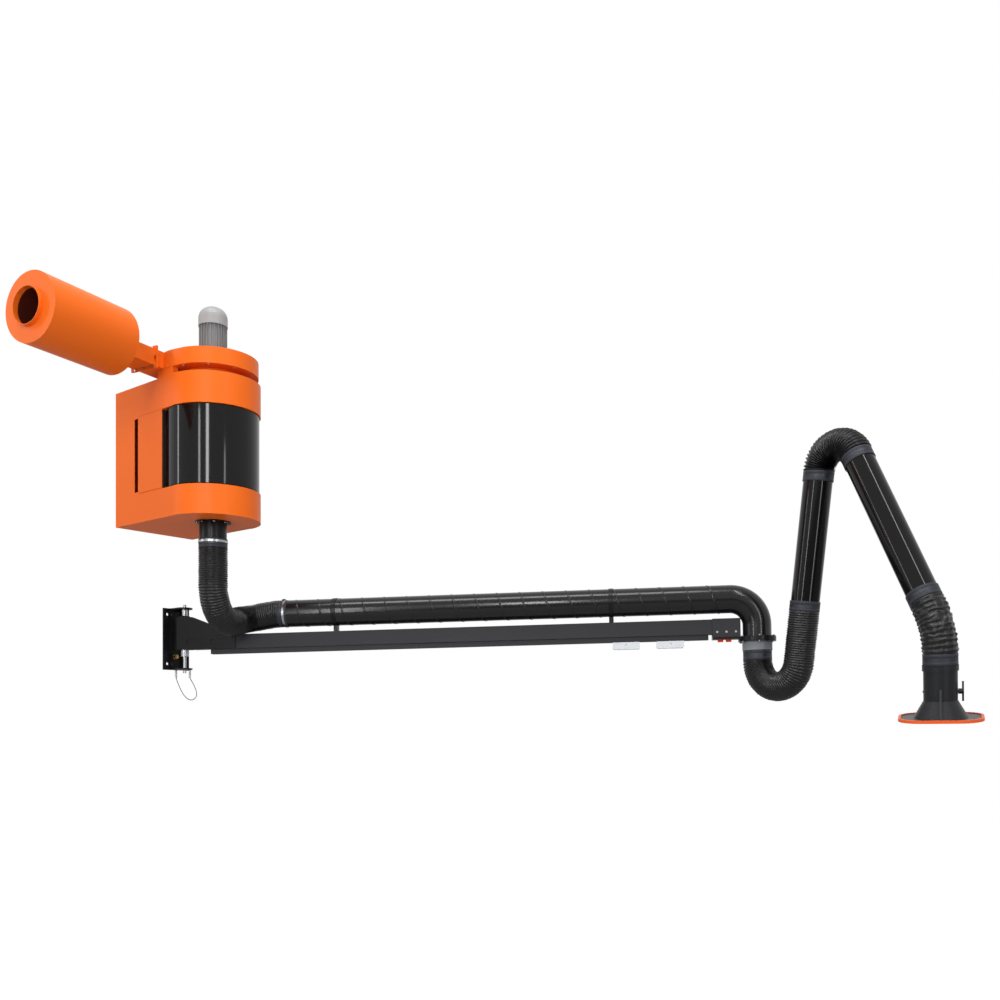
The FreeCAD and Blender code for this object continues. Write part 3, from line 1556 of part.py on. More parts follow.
def inlet_hose():
    """The ribbed hose from the inlet collar to the boom duct."""
    start = FILTER.multVec(Vector(0, 0, (low - S.collar_length).value))
    corner = Vector(start.x, start.y, S.inlet_hose_corner.value)
    end = BOOM.multVec(Vector(S.duct_start.value, 0, S.duct_level.value))
    low_level = (S.duct_level - S.inlet_hose_sag).value
    lead = BOOM.multVec(Vector((S.duct_start - S.inlet_hose_lead).value, 0, low_level))
    seat = BOOM.multVec(Vector((S.duct_start - S.inlet_hose_seat).value, 0, S.duct_level.value))
    radii = (S.inlet_corner_radius.value, S.inlet_lead_radius.value, S.inlet_seat_radius.value)
    route = rounded_route([start, corner, lead, seat, end], radii)
    print("inlet hose length %.0f mm" % route.length)
    return from_shape(ribbed_hose(route, 0, route.length, S.rib_pitch_fine.value, Vector(1, 0, 0)))


def wire_loop():
    """The thin wire loop that hangs under the wall bracket, and its two sleeves."""
    turn = Rotation(UP, S.wire_turn.value)
    foot = Vector(
        S.ferrule_one_distance.value,
        S.ferrule_one_offset.value,
        -(S.bracket_height / 2 + S.ferrule_length).value,
    )
    points = []
    for along, drop in WIRE_SHARES:
        reach = turn.multVec(Vector(along * S.wire_span.value, 0, 0))
        points.append(foot + reach + Vector(0, 0, -drop * S.wire_drop.value - S.wire_radius.value / 2))
    radii = []
    for i in range(1, len(points) - 1):
        come, leave = points[i] - points[i - 1], points[i + 1] - points[i]
        run = min(come.Length, leave.Length)
        radii.append(WIRE_CORNER_SHARE * run / math.tan(come.getAngle(leave) / 2))
    print("wire radii", [round(r, 1) for r in radii])
    route = rounded_route(points, radii)
    section = circle_at(stations(route, [0], ACROSS)[0], S.wire_radius.value)
    solid = route.wire(0, route.length).makePipeShell([section], True, False)
    expected = math.pi * S.wire_radius.value ** 2 * route.length
    print("wire length %.0f mm, volume ratio %.3f" % (route.length, solid.Volume / expected))
    sleeves = []
    for spot in (points[0], points[-1]):
        sleeve = Part.makeCylinder(
            S.ferrule_radius.value,
            S.ferrule_length.value,
            Vector(spot.x, spot.y, foot.z),
        )
        sleeves.append(from_shape(sleeve))
    return from_shape(solid), group(*sleeves)


def hood_collar():
    """The collar at the wrist hose end, in which the hood turns."""
    inner = S.hood_neck_radius + S.seat_gap
    outer = inner + S.collar_step
    skirt = -S.collar_step - S.collar_skirt
    return turned(
        (
            (spigot_bore, S.tube_insert),
            (S.spigot_radius, S.tube_insert),
            (S.spigot_radius, 0),
            (outer, 0),
            (outer, skirt),
            (inner, skirt),
            (inner, -S.collar_step),
            (spigot_bore, -S.collar_step),
        )
    )


hood_top = -S.collar_step - S.seat_gap
hood_flare = hood_top - S.hood_neck_length
hood_mouth = hood_flare - S.hood_flare_height


def hood_solid(inset, overrun):
    """The neck and flare of the hood as a full solid, drawn in by its wall."""
    return turned(
        (
            (0, hood_top + overrun),
            (S.hood_neck_radius - inset, hood_top + overrun),
            (S.hood_neck_radius - inset, hood_flare),
            (S.hood_flare_radius - inset, hood_mouth),
            (S.hood_flare_radius - inset, hood_mouth - S.hood_flange_thickness - overrun),
            (0, hood_mouth - S.hood_flange_thickness - overrun),
        )
    )


def hood_body():
    """The hood: neck, flare, flange with rounded corners and two stiffening fins."""
    fins = []
    root = S.hood_neck_radius / 2
    foot = S.hood_flange_depth / 2 - S.rim_cover * 2
    top = hood_top - S.fin_start
    for side in (-1, 1):
        outline = ((root * side, top), (foot * side, hood_mouth), (root * side, hood_mouth))
        body = new_body()
        pad(body, polygon_sketch(body, "YZ_Plane", outline), S.fin_thickness, True)
        fins.append(body)
    flange = rounded_plate(
        S.hood_flange_length,
        S.hood_flange_depth,
        S.hood_corner_radius,
        S.hood_flange_thickness,
        hood_mouth - S.hood_flange_thickness,
    )
    long = S.hood_flare_radius * 2
    axle = rod(
        S.damper_shaft_radius + S.run_gap,
        long,
        (-S.hood_flare_radius, 0, hood_top - S.damper_drop),
        "x",
    )
    solid = fuse(hood_solid(as_size(0), as_size(0)), flange, *fins)
    return cut(solid, hood_solid(S.hood_wall, S.cut_overrun), axle)


def hood_rim():
    """The edge trim around the hood flange."""
    thick = S.hood_flange_thickness
    base = hood_mouth - thick
    over, wall, cover, gap = S.rim_overhang, S.rim_wall, S.rim_cover, S.seat_gap
    long, deep, corner = S.hood_flange_length, S.hood_flange_depth, S.hood_corner_radius
    outer = rounded_plate(long + over * 2, deep + over * 2, corner + over, thick + wall * 2, base - wall)
    slot = rounded_plate(long + gap * 2, deep + gap * 2, corner + gap, thick + gap * 2, base - gap)
    mouth = rounded_plate(
        long - cover * 2,
        deep - cover * 2,
        corner - cover,
        thick + wall * 2 + S.cut_overrun * 2,
        base - wall - S.cut_overrun,
    )
    return cut(outer, slot, mouth)


def damper_flap():
    """The round damper flap on its shaft, edge on to the flow."""
    level = hood_top - S.damper_drop
    disc = rod(S.damper_radius, S.damper_thickness, (0, -S.damper_thickness / 2, level), "y")
    start = -S.hood_neck_radius - S.hood_wall
    shaft = rod(S.damper_shaft_radius, S.hood_neck_radius + S.knob_reach - start, (start, 0, level), "x")
    return fuse(disc, shaft)


def damper_knob():
    """The wing knob on the damper shaft."""
    level = hood_top - S.damper_drop
    body = new_body()
    start = S.hood_neck_radius + S.knob_reach - S.knob_thickness
    half_w, half_h = S.knob_width / 2, S.knob_height / 2
    outline = ((0, level - half_h), (half_w, level), (0, level + half_h), (-half_w, level))
    pad(body, polygon_sketch(body, "YZ_Plane", outline, start), S.knob_thickness)
    hub_start = S.hood_neck_radius + S.seat_gap * 2
    hub = rod(S.knob_hub_radius, S.knob_reach - S.seat_gap * 2, (hub_start, 0, level), "x")
    bore = rod(S.damper_shaft_radius + S.run_gap, S.knob_reach * 2, (S.hood_neck_radius, 0, level), "x")
    return cut(fuse(body, hub), bore)


def arm_hose(begin, end, pitch):
    """A ribbed hose along part of the arm."""
    return from_shape(ribbed_hose(arm_route, begin.value, end.value, pitch.value, ACROSS))


def arm_bar(*layout):
    """A support bar along part of the arm."""
    return from_shape(support_bar(arm_route, *layout))


def build_filter_unit():
    """The filter housing, drum, fan, motor and silencer."""
    node("rear_housing", rear_column(), FILTER)
    node("lower_plenum", plenum(low, S.lower_plenum_height, spigot_bore, S.drum_inlet_radius), FILTER)
    node("upper_plenum", upper_plenum(), FILTER)
    node("side_panel_left", group(side_panel(-1)), FILTER)
    node("side_panel_right", group(side_panel(1)), FILTER)
    node("filter_drum", filter_drum(), FILTER)
    node("filter_media", filter_media(), FILTER)
    node("drum_seals", drum_seals(), FILTER)
    node("inlet_collar", inlet_collar(), OUTLET)
    node("housing_screws", housing_screws(), OUTLET)
    node("fan_scroll", fan_scroll(), OUTLET)
    node("motor_body", motor_body(), FILTER)
    node("motor_cowl", motor_cowl(), FILTER)
    node("outlet_duct", outlet_duct(), OUTLET)
    node("silencer_shell", silencer_shell(), SILENCER)
    node("silencer_core", silencer_core(), SILENCER)
    node("impeller", impeller(), FILTER)
    top = motor_high + S.cooling_fan_lift + S.cooling_fan_height
    node("motor_shaft", group(rod(S.shaft_radius, top - impeller_low, (0, 0, impeller_low))), FILTER)
    node("cooling_fan", cooling_fan(), FILTER)
    band = low - S.collar_length - S.band_width * 2
    node("collar_clamp", hose_band((0, 0, band), "z"), FILTER)
    node("inlet_hose", inlet_hose())


def build_bracket():
    """The wall bracket with its pin, bushes, bolt and wire."""
    node("boom_bracket", boom_bracket())
    foot = -S.bracket_height / 2 - S.pivot_overhang
    pin = rod(S.pivot_radius, S.bracket_height + S.pivot_overhang * 2, (S.pivot_distance, 0, foot))
    node("pivot_pin", group(pin))
    node("pivot_bushes", pivot_bushes())
    node("brass_bolt", brass_bolt())
    wire, sleeves = wire_loop()
    node("wire_loop", wire)
    node("wire_ferrules", sleeves)


def build_boom():
    """The boom with its rail, duct and swivel seat."""
    node("boom_root", boom_root(), LEVEL_BOOM)
    node("boom_beam", boom_beam(), BOOM)
    node("glider_rail", glider_rail(), BOOM)
    node("end_block", end_block(), BOOM)
    node("boom_bolts", boom_bolts(), BOOM)
    node("rail_buffers", rail_buffers(), BOOM)
    node("swivel_plate", swivel_plate(), BOOM)
    node("swivel_clamp_ring", swivel_clamp_ring(), SWIVEL)
    node("boom_duct", boom_duct(), DUCT)
    node("duct_straps", duct_straps(), BOOM)
    node("duct_elbow", duct_elbow(), BOOM)
    node("duct_clamp", hose_band((S.duct_start - S.band_width * 2, 0, S.duct_level), "x"), BOOM)
    node("glider_1", glider(S.beam_end - S.glider_first), BOOM)
    node("glider_2", glider(S.beam_end - S.glider_second), BOOM)


def build_arm():
    """The extraction arm: hoses, tubes and the support bars inside them."""
    node("swivel_ring", swivel_ring(), ARM)
    cuff_bore = S.spigot_radius + S.seat_gap
    cuff = tube(S.swivel_cuff_radius, cuff_bore, S.swivel_cuff_height, (0, 0, hose_top))
    node("swivel_cuff", cuff, ARM)
    tube_one = lower_begin + S.shoulder_hose_run - S.tube_insert
    tube_one_end = lower_end - S.elbow_hose_run + S.tube_insert
    tube_two = upper_begin + S.elbow_hose_run - S.tube_insert
    tube_two_end = upper_end - S.wrist_hose_run + S.tube_insert
    node("shoulder_hose", arm_hose(as_size(0), lower_begin + S.shoulder_hose_run, S.rib_pitch_fine), ARM)
    elbow_hose = (lower_end - S.elbow_hose_run, upper_begin + S.elbow_hose_run, S.rib_pitch_elbow)
    node("elbow_hose", arm_hose(*elbow_hose), ARM)
    wrist_hose = (upper_end - S.wrist_hose_run, as_size(arm_length), S.rib_pitch_wrist)
    node("wrist_hose", arm_hose(*wrist_hose), ARM)
    for label, begin, end in (
        ("lower_tube", tube_one, tube_one_end),
        ("upper_tube", tube_two, tube_two_end),
    ):
        thing, frame = straight_tube(arm_route, begin, end)
        node(label, thing, ARM.multiply(frame))
    half_bar = S.bar_width.value / 2
    inset = S.spider_inset.value
    first_cross = S.tube_insert.value / 2
    last_cross = arm_length - first_cross
    shoulder_eye = (shoulder_at, ACROSS)
    elbow_eye = (elbow_at, ACROSS)
    wrist_eye = (wrist_at, wrist_axis)
    lower_crosses = [tube_one.value + inset, tube_one_end.value - inset]
    upper_crosses = [tube_two.value + inset, tube_two_end.value - inset]
    top = first_cross - half_bar
    end = last_cross + half_bar
    for label, layout in (
        ("shoulder_bracket", (top, shoulder_at, -1, [shoulder_eye], [first_cross], ACROSS)),
        ("lower_bar", (shoulder_at, elbow_at, 1, [shoulder_eye, elbow_eye], lower_crosses, ACROSS)),
        ("upper_bar", (elbow_at, wrist_at, -1, [elbow_eye, wrist_eye], upper_crosses, ACROSS)),
        ("wrist_link", (wrist_at, end, 1, [wrist_eye], [last_cross], wrist_axis)),
    ):
        node(label, arm_bar(*layout), ARM)
    for label, (distance, across) in (
        ("shoulder_pin", shoulder_eye),
        ("elbow_pin", elbow_eye),
        ("wrist_pin", wrist_eye),
    ):
        node(label, from_shape(joint_pin(arm_route, distance, across)), ARM)


def build_hood():
    """The hood with its collar, edge trim and damper."""
    node("hood_collar", hood_collar(), WRIST)
    node("hood_body", hood_body(), HOOD)
    node("hood_rim", hood_rim(), HOOD)
    node("damper_flap", damper_flap(), HOOD)
    node("damper_knob", damper_knob(), HOOD)


def check_and_write():
    """Recompute, check every object and write one file per piece."""
    doc.recompute()
    faults = []
    for thing in doc.Objects:
        if "Invalid" in thing.State or "Error" in thing.State:
            faults.append("%s %s" % (thing.Label, thing.State))
    for thing in NODES:
        if thing.Shape.isNull() or not thing.Shape.isValid() or not thing.Shape.Solids:
            faults.append("bad shape " + thing.Label)
    if faults:
        raise RuntimeError("; ".join(faults))
    os.makedirs("parts", exist_ok=True)
    for thing in NODES:
        thing.Shape.exportStep("parts/%s.step" % thing.Label)
    print("pieces written:", len(NODES))


def report_joints():
    """Print the places and directions of the joints in the shared frame."""
    for label, spot in (
        ("swivel", SWIVEL.Base),
        ("shoulder", ARM.multVec(arm_route.at(shoulder_at)[0])),
        ("elbow", ARM.multVec(arm_route.at(elbow_at)[0])),
        ("wrist", ARM.multVec(arm_route.at(wrist_at)[0])),
        ("hood", HOOD.Base),
        ("damper", HOOD.multVec(Vector(0, 0, (hood_top - S.damper_drop).value))),
    ):
        print("%s at %.3f %.3f %.3f" % (label, spot.x, spot.y, spot.z))
    for label, frame, axis in (
        ("boom along", BOOM, Vector(1, 0, 0)),
        ("boom up", BOOM, UP),
        ("arm across", ARM, ACROSS),
        ("wrist across", ARM, wrist_axis),
        ("hood axis", HOOD, UP),
        ("hood long", HOOD, Vector(1, 0, 0)),
        ("hood deep", HOOD, ACROSS),
        ("outlet", OUTLET, Vector(1, 0, 0)),
    ):
        way = frame.Rotation.multVec(axis)
        print("%s %.6f %.6f %.6f" % (label, way.x, way.y, way.z))
    spot = SILENCER.Base
    print("silencer at %.3f %.3f %.3f" % (spot.x, spot.y, spot.z))


build_filter_unit()
build_bracket()
build_boom()
build_arm()
build_hood()
check_and_write()
report_joints()
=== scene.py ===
"""Dresses the wall mounted fume extractor and sets up its studio view."""

import logging
import math
from dataclasses import dataclass
from enum import Enum

import bpy
from mathutils import Matrix, Vector


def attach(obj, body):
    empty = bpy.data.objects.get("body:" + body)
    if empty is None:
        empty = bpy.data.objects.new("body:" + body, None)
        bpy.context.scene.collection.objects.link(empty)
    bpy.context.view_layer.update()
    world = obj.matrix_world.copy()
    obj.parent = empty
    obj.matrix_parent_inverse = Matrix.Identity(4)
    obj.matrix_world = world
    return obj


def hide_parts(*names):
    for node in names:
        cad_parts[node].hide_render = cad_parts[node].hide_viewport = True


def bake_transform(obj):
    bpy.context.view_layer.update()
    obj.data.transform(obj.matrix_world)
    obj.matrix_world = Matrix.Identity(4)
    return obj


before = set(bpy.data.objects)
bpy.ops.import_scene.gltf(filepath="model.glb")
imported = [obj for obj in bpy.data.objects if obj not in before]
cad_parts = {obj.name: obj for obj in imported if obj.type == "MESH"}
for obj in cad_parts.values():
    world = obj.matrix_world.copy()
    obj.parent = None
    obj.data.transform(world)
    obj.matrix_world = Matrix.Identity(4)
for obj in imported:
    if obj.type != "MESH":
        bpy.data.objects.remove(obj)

LOG = logging.getLogger("fume_extractor")
Point = tuple[float, float, float]
Colour = tuple[float, float, float, float]
Shares = tuple[tuple[float, float], ...]

# Edges flatter than this are shaded smooth: plain pieces, ribs and beads, clamps.
SMOOTH_DEG = 40.0
ROUND_SMOOTH_DEG = 60.0
CLAMP_SMOOTH_DEG = 30.0

# Corners of a ring round a hose, and how near two of them count as one.
HOSE_SIDES = 72
MERGE_DISTANCE = 0.0001

# A face looks away from the wall where its normal has more than this along X.
FACES_FRONT = 0.9

# One rib, as shares of the pitch and of its height.
RIB_SHARES: Shares = (
    (0.0, 0.0),
    (0.12, 0.35),
    (0.26, 0.9),
    (0.38, 1.0),
    (0.5, 0.9),
    (0.64, 0.35),
    (0.8, 0.05),
    (1.0, 0.0),
)


def linear(red: int, green: int, blue: int) -> Colour:
    """Turn a display colour into the colour a shader takes, by the sRGB curve.

    Args:
        red: Red part, 0 to 255.
        green: Green part, 0 to 255.
        blue: Blue part, 0 to 255.

    Returns:
        The linear colour with full opacity.
    """
    parts = []
    for part in (red, green, blue):
        share = part / 255.0
        parts.append(share / 12.92 if share <= 0.04045 else ((share + 0.055) / 1.055) ** 2.4)
    return parts[0], parts[1], parts[2], 1.0


@dataclass(frozen=True)
class Finish:
    """One surface finish.

    Attributes:
        name: Name of the material.
        colour: Middle colour of the surface.
        rough: Middle roughness.
        metal: 1 for bare metal, 0 for paint, plastic, rubber and cloth.
        scale: How many patches of mottling fit in a metre.
        spread: How far the colour strays, as a share of it.
        rough_spread: How far the roughness strays.
        bump: Height of the surface grain in metres.
        gloss: Strength of the mirror part of paint and plastic.
    """

    name: str
    colour: Colour
    rough: float
    metal: float = 0.0
    scale: float = 30.0
    spread: float = 0.08
    rough_spread: float = 0.06
    bump: float = 0.0002
    gloss: float = 0.5


class Coat(Enum):
    """The finishes of this object."""

    ORANGE = Finish(
        "orange_powder_coat", linear(228, 102, 26), 0.4,
        scale=420, spread=0.03, bump=0.00006, gloss=0.14,
    )
    GLOSS_BLACK = Finish(
        "gloss_black_lacquer", linear(13, 13, 14), 0.09,
        scale=12, bump=0.00005, gloss=0.2,
    )
    SATIN_BLACK = Finish(
        "satin_black_paint", linear(19, 19, 21), 0.3,
        scale=60, bump=0.0001, gloss=0.16,
    )
    DUCT = Finish("black_duct_lacquer", linear(20, 20, 22), 0.18, scale=60, bump=0.0001, gloss=0.3)
    ANTHRACITE = Finish(
        "anthracite_paint", linear(42, 42, 46), 0.5,
        scale=80, spread=0.06, bump=0.0001, gloss=0.2,
    )
    STEEL = Finish("bright_steel", linear(158, 159, 162), 0.3, metal=1.0, scale=90, spread=0.05)
    WIRE = Finish(
        "dull_steel_wire", linear(112, 113, 110), 0.5,
        metal=1.0, scale=900, spread=0.2, bump=0.0004,
    )
    BRASS = Finish("plain_brass", linear(200, 166, 92), 0.28, metal=1.0, scale=90, spread=0.06)
    MOTOR_GREY = Finish(
        "motor_grey_paint", linear(126, 128, 130), 0.5,
        scale=120, spread=0.05, gloss=0.3,
    )
    COWL_GREY = Finish(
        "cowl_grey_paint", linear(146, 147, 147), 0.42,
        scale=120, spread=0.03, gloss=0.4,
    )
    HOSE = Finish(
        "black_hose_cloth", linear(8, 8, 9), 0.32,
        scale=420, spread=0.22, bump=0.0006, gloss=0.34,
    )
    CUFF = Finish("dark_rubber_cuff", linear(42, 44, 52), 0.46, scale=160, spread=0.08, gloss=0.25)
    CLAMP = Finish("dark_steel_clamp", linear(62, 64, 68), 0.5, metal=1.0, scale=160, spread=0.08)
    RUBBER = Finish("black_rubber", linear(26, 26, 28), 0.7, scale=160, gloss=0.2)
    WHITE = Finish("white_plastic", linear(204, 207, 211), 0.45, scale=60, spread=0.02, gloss=0.3)
    RED = Finish("red_rubber", linear(226, 66, 28), 0.55, scale=160, spread=0.05, gloss=0.3)
    TRIM = Finish("orange_edge_trim", linear(228, 90, 28), 0.42, scale=160, spread=0.04, gloss=0.3)
    HOOD = Finish(
        "dark_grey_plastic", linear(24, 25, 28), 0.4,
        scale=300, spread=0.1, bump=0.0003, gloss=0.25,
    )
    SWIVEL = Finish(
        "mid_grey_plastic", linear(118, 121, 126), 0.5,
        scale=120, spread=0.05, gloss=0.3,
    )
    PAPER = Finish("filter_paper", linear(226, 218, 196), 0.9, scale=300, spread=0.06)
    CORE = Finish(
        "dark_red_core", linear(74, 24, 15), 0.5,
        scale=240, spread=0.5, bump=0.001, gloss=0.3,
    )


COATS: dict[Coat, tuple[str, ...]] = {
    Coat.ORANGE: (
        "rear_housing",
        "lower_plenum",
        "upper_plenum",
        "side_panel_left",
        "side_panel_right",
        "silencer_shell",
        "fan_scroll",
        "outlet_duct",
    ),
    Coat.GLOSS_BLACK: ("filter_drum", "lower_tube", "upper_tube"),
    Coat.SATIN_BLACK: (
        "inlet_collar",
        "boom_bracket",
        "boom_root",
        "duct_straps",
        "swivel_plate",
        "swivel_ring",
        "swivel_clamp_ring",
        "shoulder_bracket",
        "lower_bar",
        "upper_bar",
        "wrist_link",
    ),
    Coat.DUCT: ("boom_duct", "duct_elbow"),
    Coat.ANTHRACITE: ("boom_beam", "glider_rail", "end_block"),
    Coat.STEEL: (
        "housing_screws",
        "collar_clamp",
        "pivot_pin",
        "pivot_bushes",
        "wire_loop",
        "wire_ferrules",
        "boom_bolts",
        "duct_clamp",
        "impeller",
        "motor_shaft",
        "shoulder_pin",
        "elbow_pin",
        "wrist_pin",
    ),
    Coat.BRASS: ("brass_bolt",),
    Coat.MOTOR_GREY: ("motor_body",),
    Coat.COWL_GREY: ("motor_cowl",),
    Coat.HOSE: ("inlet_hose", "shoulder_hose", "elbow_hose", "wrist_hose"),
    Coat.RUBBER: ("drum_seals", "cooling_fan"),
    Coat.WHITE: ("glider_1", "glider_2"),
    Coat.RED: ("rail_buffers",),
    Coat.TRIM: ("hood_rim",),
    Coat.HOOD: ("hood_body", "hood_collar", "damper_flap", "damper_knob"),
    Coat.SWIVEL: ("swivel_cuff",),
    Coat.PAPER: ("filter_media",),
    Coat.CORE: ("silencer_core",),
}


class PaintShop:
    """Makes each finish once and hands it out.

    Attributes:
        fine_detail: Detail of the fine mottling.
        broad_scale: How many broad patches fit in a metre.
        broad_detail: Detail of the broad patches.
        grain_strength: How strongly the grain tilts the light.
    """

    fine_detail = 3.0
    broad_scale = 2.5
    broad_detail = 2.0
    grain_strength = 0.5

    def __init__(self) -> None:
        """Build the shared effect and start with no finishes."""
        self.mottle = self._mottle_group()
        self.made: dict[Coat, bpy.types.Material] = {}

    def _mottle_group(self) -> bpy.types.ShaderNodeTree:
        """Build the effect that varies colour, roughness and height over a surface.

        Returns:
            The shared node group.
        """
        tree = bpy.data.node_groups.new("mottled_surface", "ShaderNodeTree")
        for name, kind in (
            ("Position", "NodeSocketVector"),
            ("Colour", "NodeSocketColor"),
            ("Scale", "NodeSocketFloat"),
            ("Spread", "NodeSocketFloat"),
            ("Roughness", "NodeSocketFloat"),
            ("Roughness Spread", "NodeSocketFloat"),
        ):
            tree.interface.new_socket(name, in_out="INPUT", socket_type=kind)
        for name, kind in (
            ("Colour", "NodeSocketColor"),
            ("Roughness", "NodeSocketFloat"),
            ("Height", "NodeSocketFloat"),
        ):
            tree.interface.new_socket(name, in_out="OUTPUT", socket_type=kind)
        nodes, links = tree.nodes, tree.links
        inlet, outlet = nodes.new("NodeGroupInput"), nodes.new("NodeGroupOutput")
        fine = nodes.new("ShaderNodeTexNoise")
        fine.inputs["Detail"].default_value = self.fine_detail
        broad = nodes.new("ShaderNodeTexNoise")
        broad.inputs["Scale"].default_value = self.broad_scale
        broad.inputs["Detail"].default_value = self.broad_detail
        links.new(inlet.outputs["Position"], fine.inputs["Vector"])
        links.new(inlet.outputs["Scale"], fine.inputs["Scale"])
        links.new(inlet.outputs["Position"], broad.inputs["Vector"])
        both = self._maths(nodes, links, "ADD", fine.outputs["Fac"], broad.outputs["Fac"])
        centred = self._maths(nodes, links, "SUBTRACT", both, 1.0)
        stray = self._maths(nodes, links, "MULTIPLY", centred, inlet.outputs["Spread"])
        value = self._maths(nodes, links, "ADD", stray, 1.0)
        tint = nodes.new("ShaderNodeHueSaturation")
        links.new(inlet.outputs["Colour"], tint.inputs["Color"])
        links.new(value, tint.inputs["Value"])
        links.new(tint.outputs["Color"], outlet.inputs["Colour"])
        rub = self._maths(nodes, links, "MULTIPLY", centred, inlet.outputs["Roughness Spread"])
        rough = self._maths(nodes, links, "ADD", rub, inlet.outputs["Roughness"])
        links.new(rough, outlet.inputs["Roughness"])
        links.new(fine.outputs["Fac"], outlet.inputs["Height"])
        return tree

    @staticmethod
    def _maths(
        nodes: bpy.types.Nodes,
        links: bpy.types.NodeLinks,
        operation: str,
        first: bpy.types.NodeSocket,
        second: bpy.types.NodeSocket | float,
    ) -> bpy.types.NodeSocket:
        """Add one sum to a node tree.

        Args:
            nodes: Nodes of the tree.
            links: Links of the tree.
            operation: Kind of sum.
            first: Socket with the first number.
            second: Socket with the second number, or the number itself.

        Returns:
            The socket with the result.
        """
        node = nodes.new("ShaderNodeMath")
        node.operation = operation
        links.new(first, node.inputs[0])
        if isinstance(second, float):
            node.inputs[1].default_value = second
        else:
            links.new(second, node.inputs[1])
        return node.outputs[0]

    def get(self, coat: Coat) -> bpy.types.Material:
        """Give the material of a finish, made on first use.

        Args:
            coat: The finish.

        Returns:
            Its material.
        """
        if coat not in self.made:
            self.made[coat] = self._make(coat.value)
        return self.made[coat]

    def _make(self, finish: Finish) -> bpy.types.Material:
        """Build the material of one finish.

        Args:
            finish: The finish.

        Returns:
            The new material.
        """
        material = bpy.data.materials.new(finish.name)
        material.use_nodes = True
        material.diffuse_color = finish.colour
        nodes, links = material.node_tree.nodes, material.node_tree.links
        shader = nodes["Principled BSDF"]
        place = nodes.new("ShaderNodeTexCoord")
        mottle = nodes.new("ShaderNodeGroup")
        mottle.node_tree = self.mottle
        links.new(place.outputs["Object"], mottle.inputs["Position"])
        for socket, value in (
            ("Colour", finish.colour),
            ("Scale", finish.scale),
            ("Spread", finish.spread),
            ("Roughness", finish.rough),
            ("Roughness Spread", finish.rough_spread),
        ):
            mottle.inputs[socket].default_value = value
        grain = nodes.new("ShaderNodeBump")
        grain.inputs["Strength"].default_value = self.grain_strength
        grain.inputs["Distance"].default_value = finish.bump
        links.new(mottle.outputs["Height"], grain.inputs["Height"])
        links.new(mottle.outputs["Colour"], shader.inputs["Base Color"])
        links.new(mottle.outputs["Roughness"], shader.inputs["Roughness"])
        links.new(grain.outputs["Normal"], shader.inputs["Normal"])
        shader.inputs["Metallic"].default_value = finish.metal
        shader.inputs["Specular IOR Level"].default_value = finish.gloss
        return material

    def dress(self, piece: bpy.types.Object, coat: Coat) -> None:
        """Give a piece one finish all over.

        Args:
            piece: The piece.
            coat: The finish.
        """
        piece.data.materials.clear()
        piece.data.materials.append(self.get(coat))


def deselect() -> None:
    """Leave nothing selected, in object mode."""
    bpy.ops.object.select_all(action="DESELECT")


def pick(piece: bpy.types.Object) -> None:
    """Select one piece alone and make it active.

    Args:
        piece: The piece.
    """
    deselect()
    piece.select_set(True)
    bpy.context.view_layer.objects.active = piece


def apply_all(piece: bpy.types.Object) -> None:
    """Apply every modifier of a piece, in order.

    Args:
        piece: The piece.
    """
    pick(piece)
    for modifier in list(piece.modifiers):
        bpy.ops.object.modifier_apply(modifier=modifier.name)


def freeze() -> None:
    """Put the place, turn and scale of the selected piece in its mesh."""
    bpy.ops.object.transform_apply(location=True, rotation=True, scale=True)


def bevel(piece: bpy.types.Object, width: float, segments: int) -> None:
    """Round off every edge of a piece.

    Args:
        piece: The piece.
        width: Width of the rounding.
        segments: How many faces it has.
    """
    edge = piece.modifiers.new("bevel", "BEVEL")
    edge.width = width
    edge.segments = segments
    apply_all(piece)


def block(middle: Point, sides: Point) -> bpy.types.Object:
    """Make a plain block.

    Args:
        middle: Its middle.
        sides: Its lengths along X, Y and Z.

    Returns:
        The new block.
    """
    deselect()
    bpy.ops.mesh.primitive_cube_add(size=1.0, location=middle)
    piece = bpy.context.object
    piece.scale = sides
    freeze()
    return piece


def lay_points(spline: bpy.types.Spline, points: list[Vector]) -> None:
    """Give a new spline its points.

    Args:
        spline: The spline, with its one first point.
        points: Where they lie.
    """
    spline.points.add(len(points) - 1)
    for spot, point in zip(spline.points, points):
        spot.co = (point.x, point.y, point.z, 1.0)


def settle(piece: bpy.types.Object, place: Matrix, smooth_deg: float = SMOOTH_DEG) -> None:
    """Put a piece in its place, with the place in its mesh, and smooth its shading.

    Args:
        piece: The piece.
        place: Where its own axes lie in the row frame.
        smooth_deg: Edges flatter than this are shaded smooth.
    """
    pick(piece)
    piece.matrix_world = place
    freeze()
    bpy.ops.object.shade_smooth_by_angle(angle=math.radians(smooth_deg))


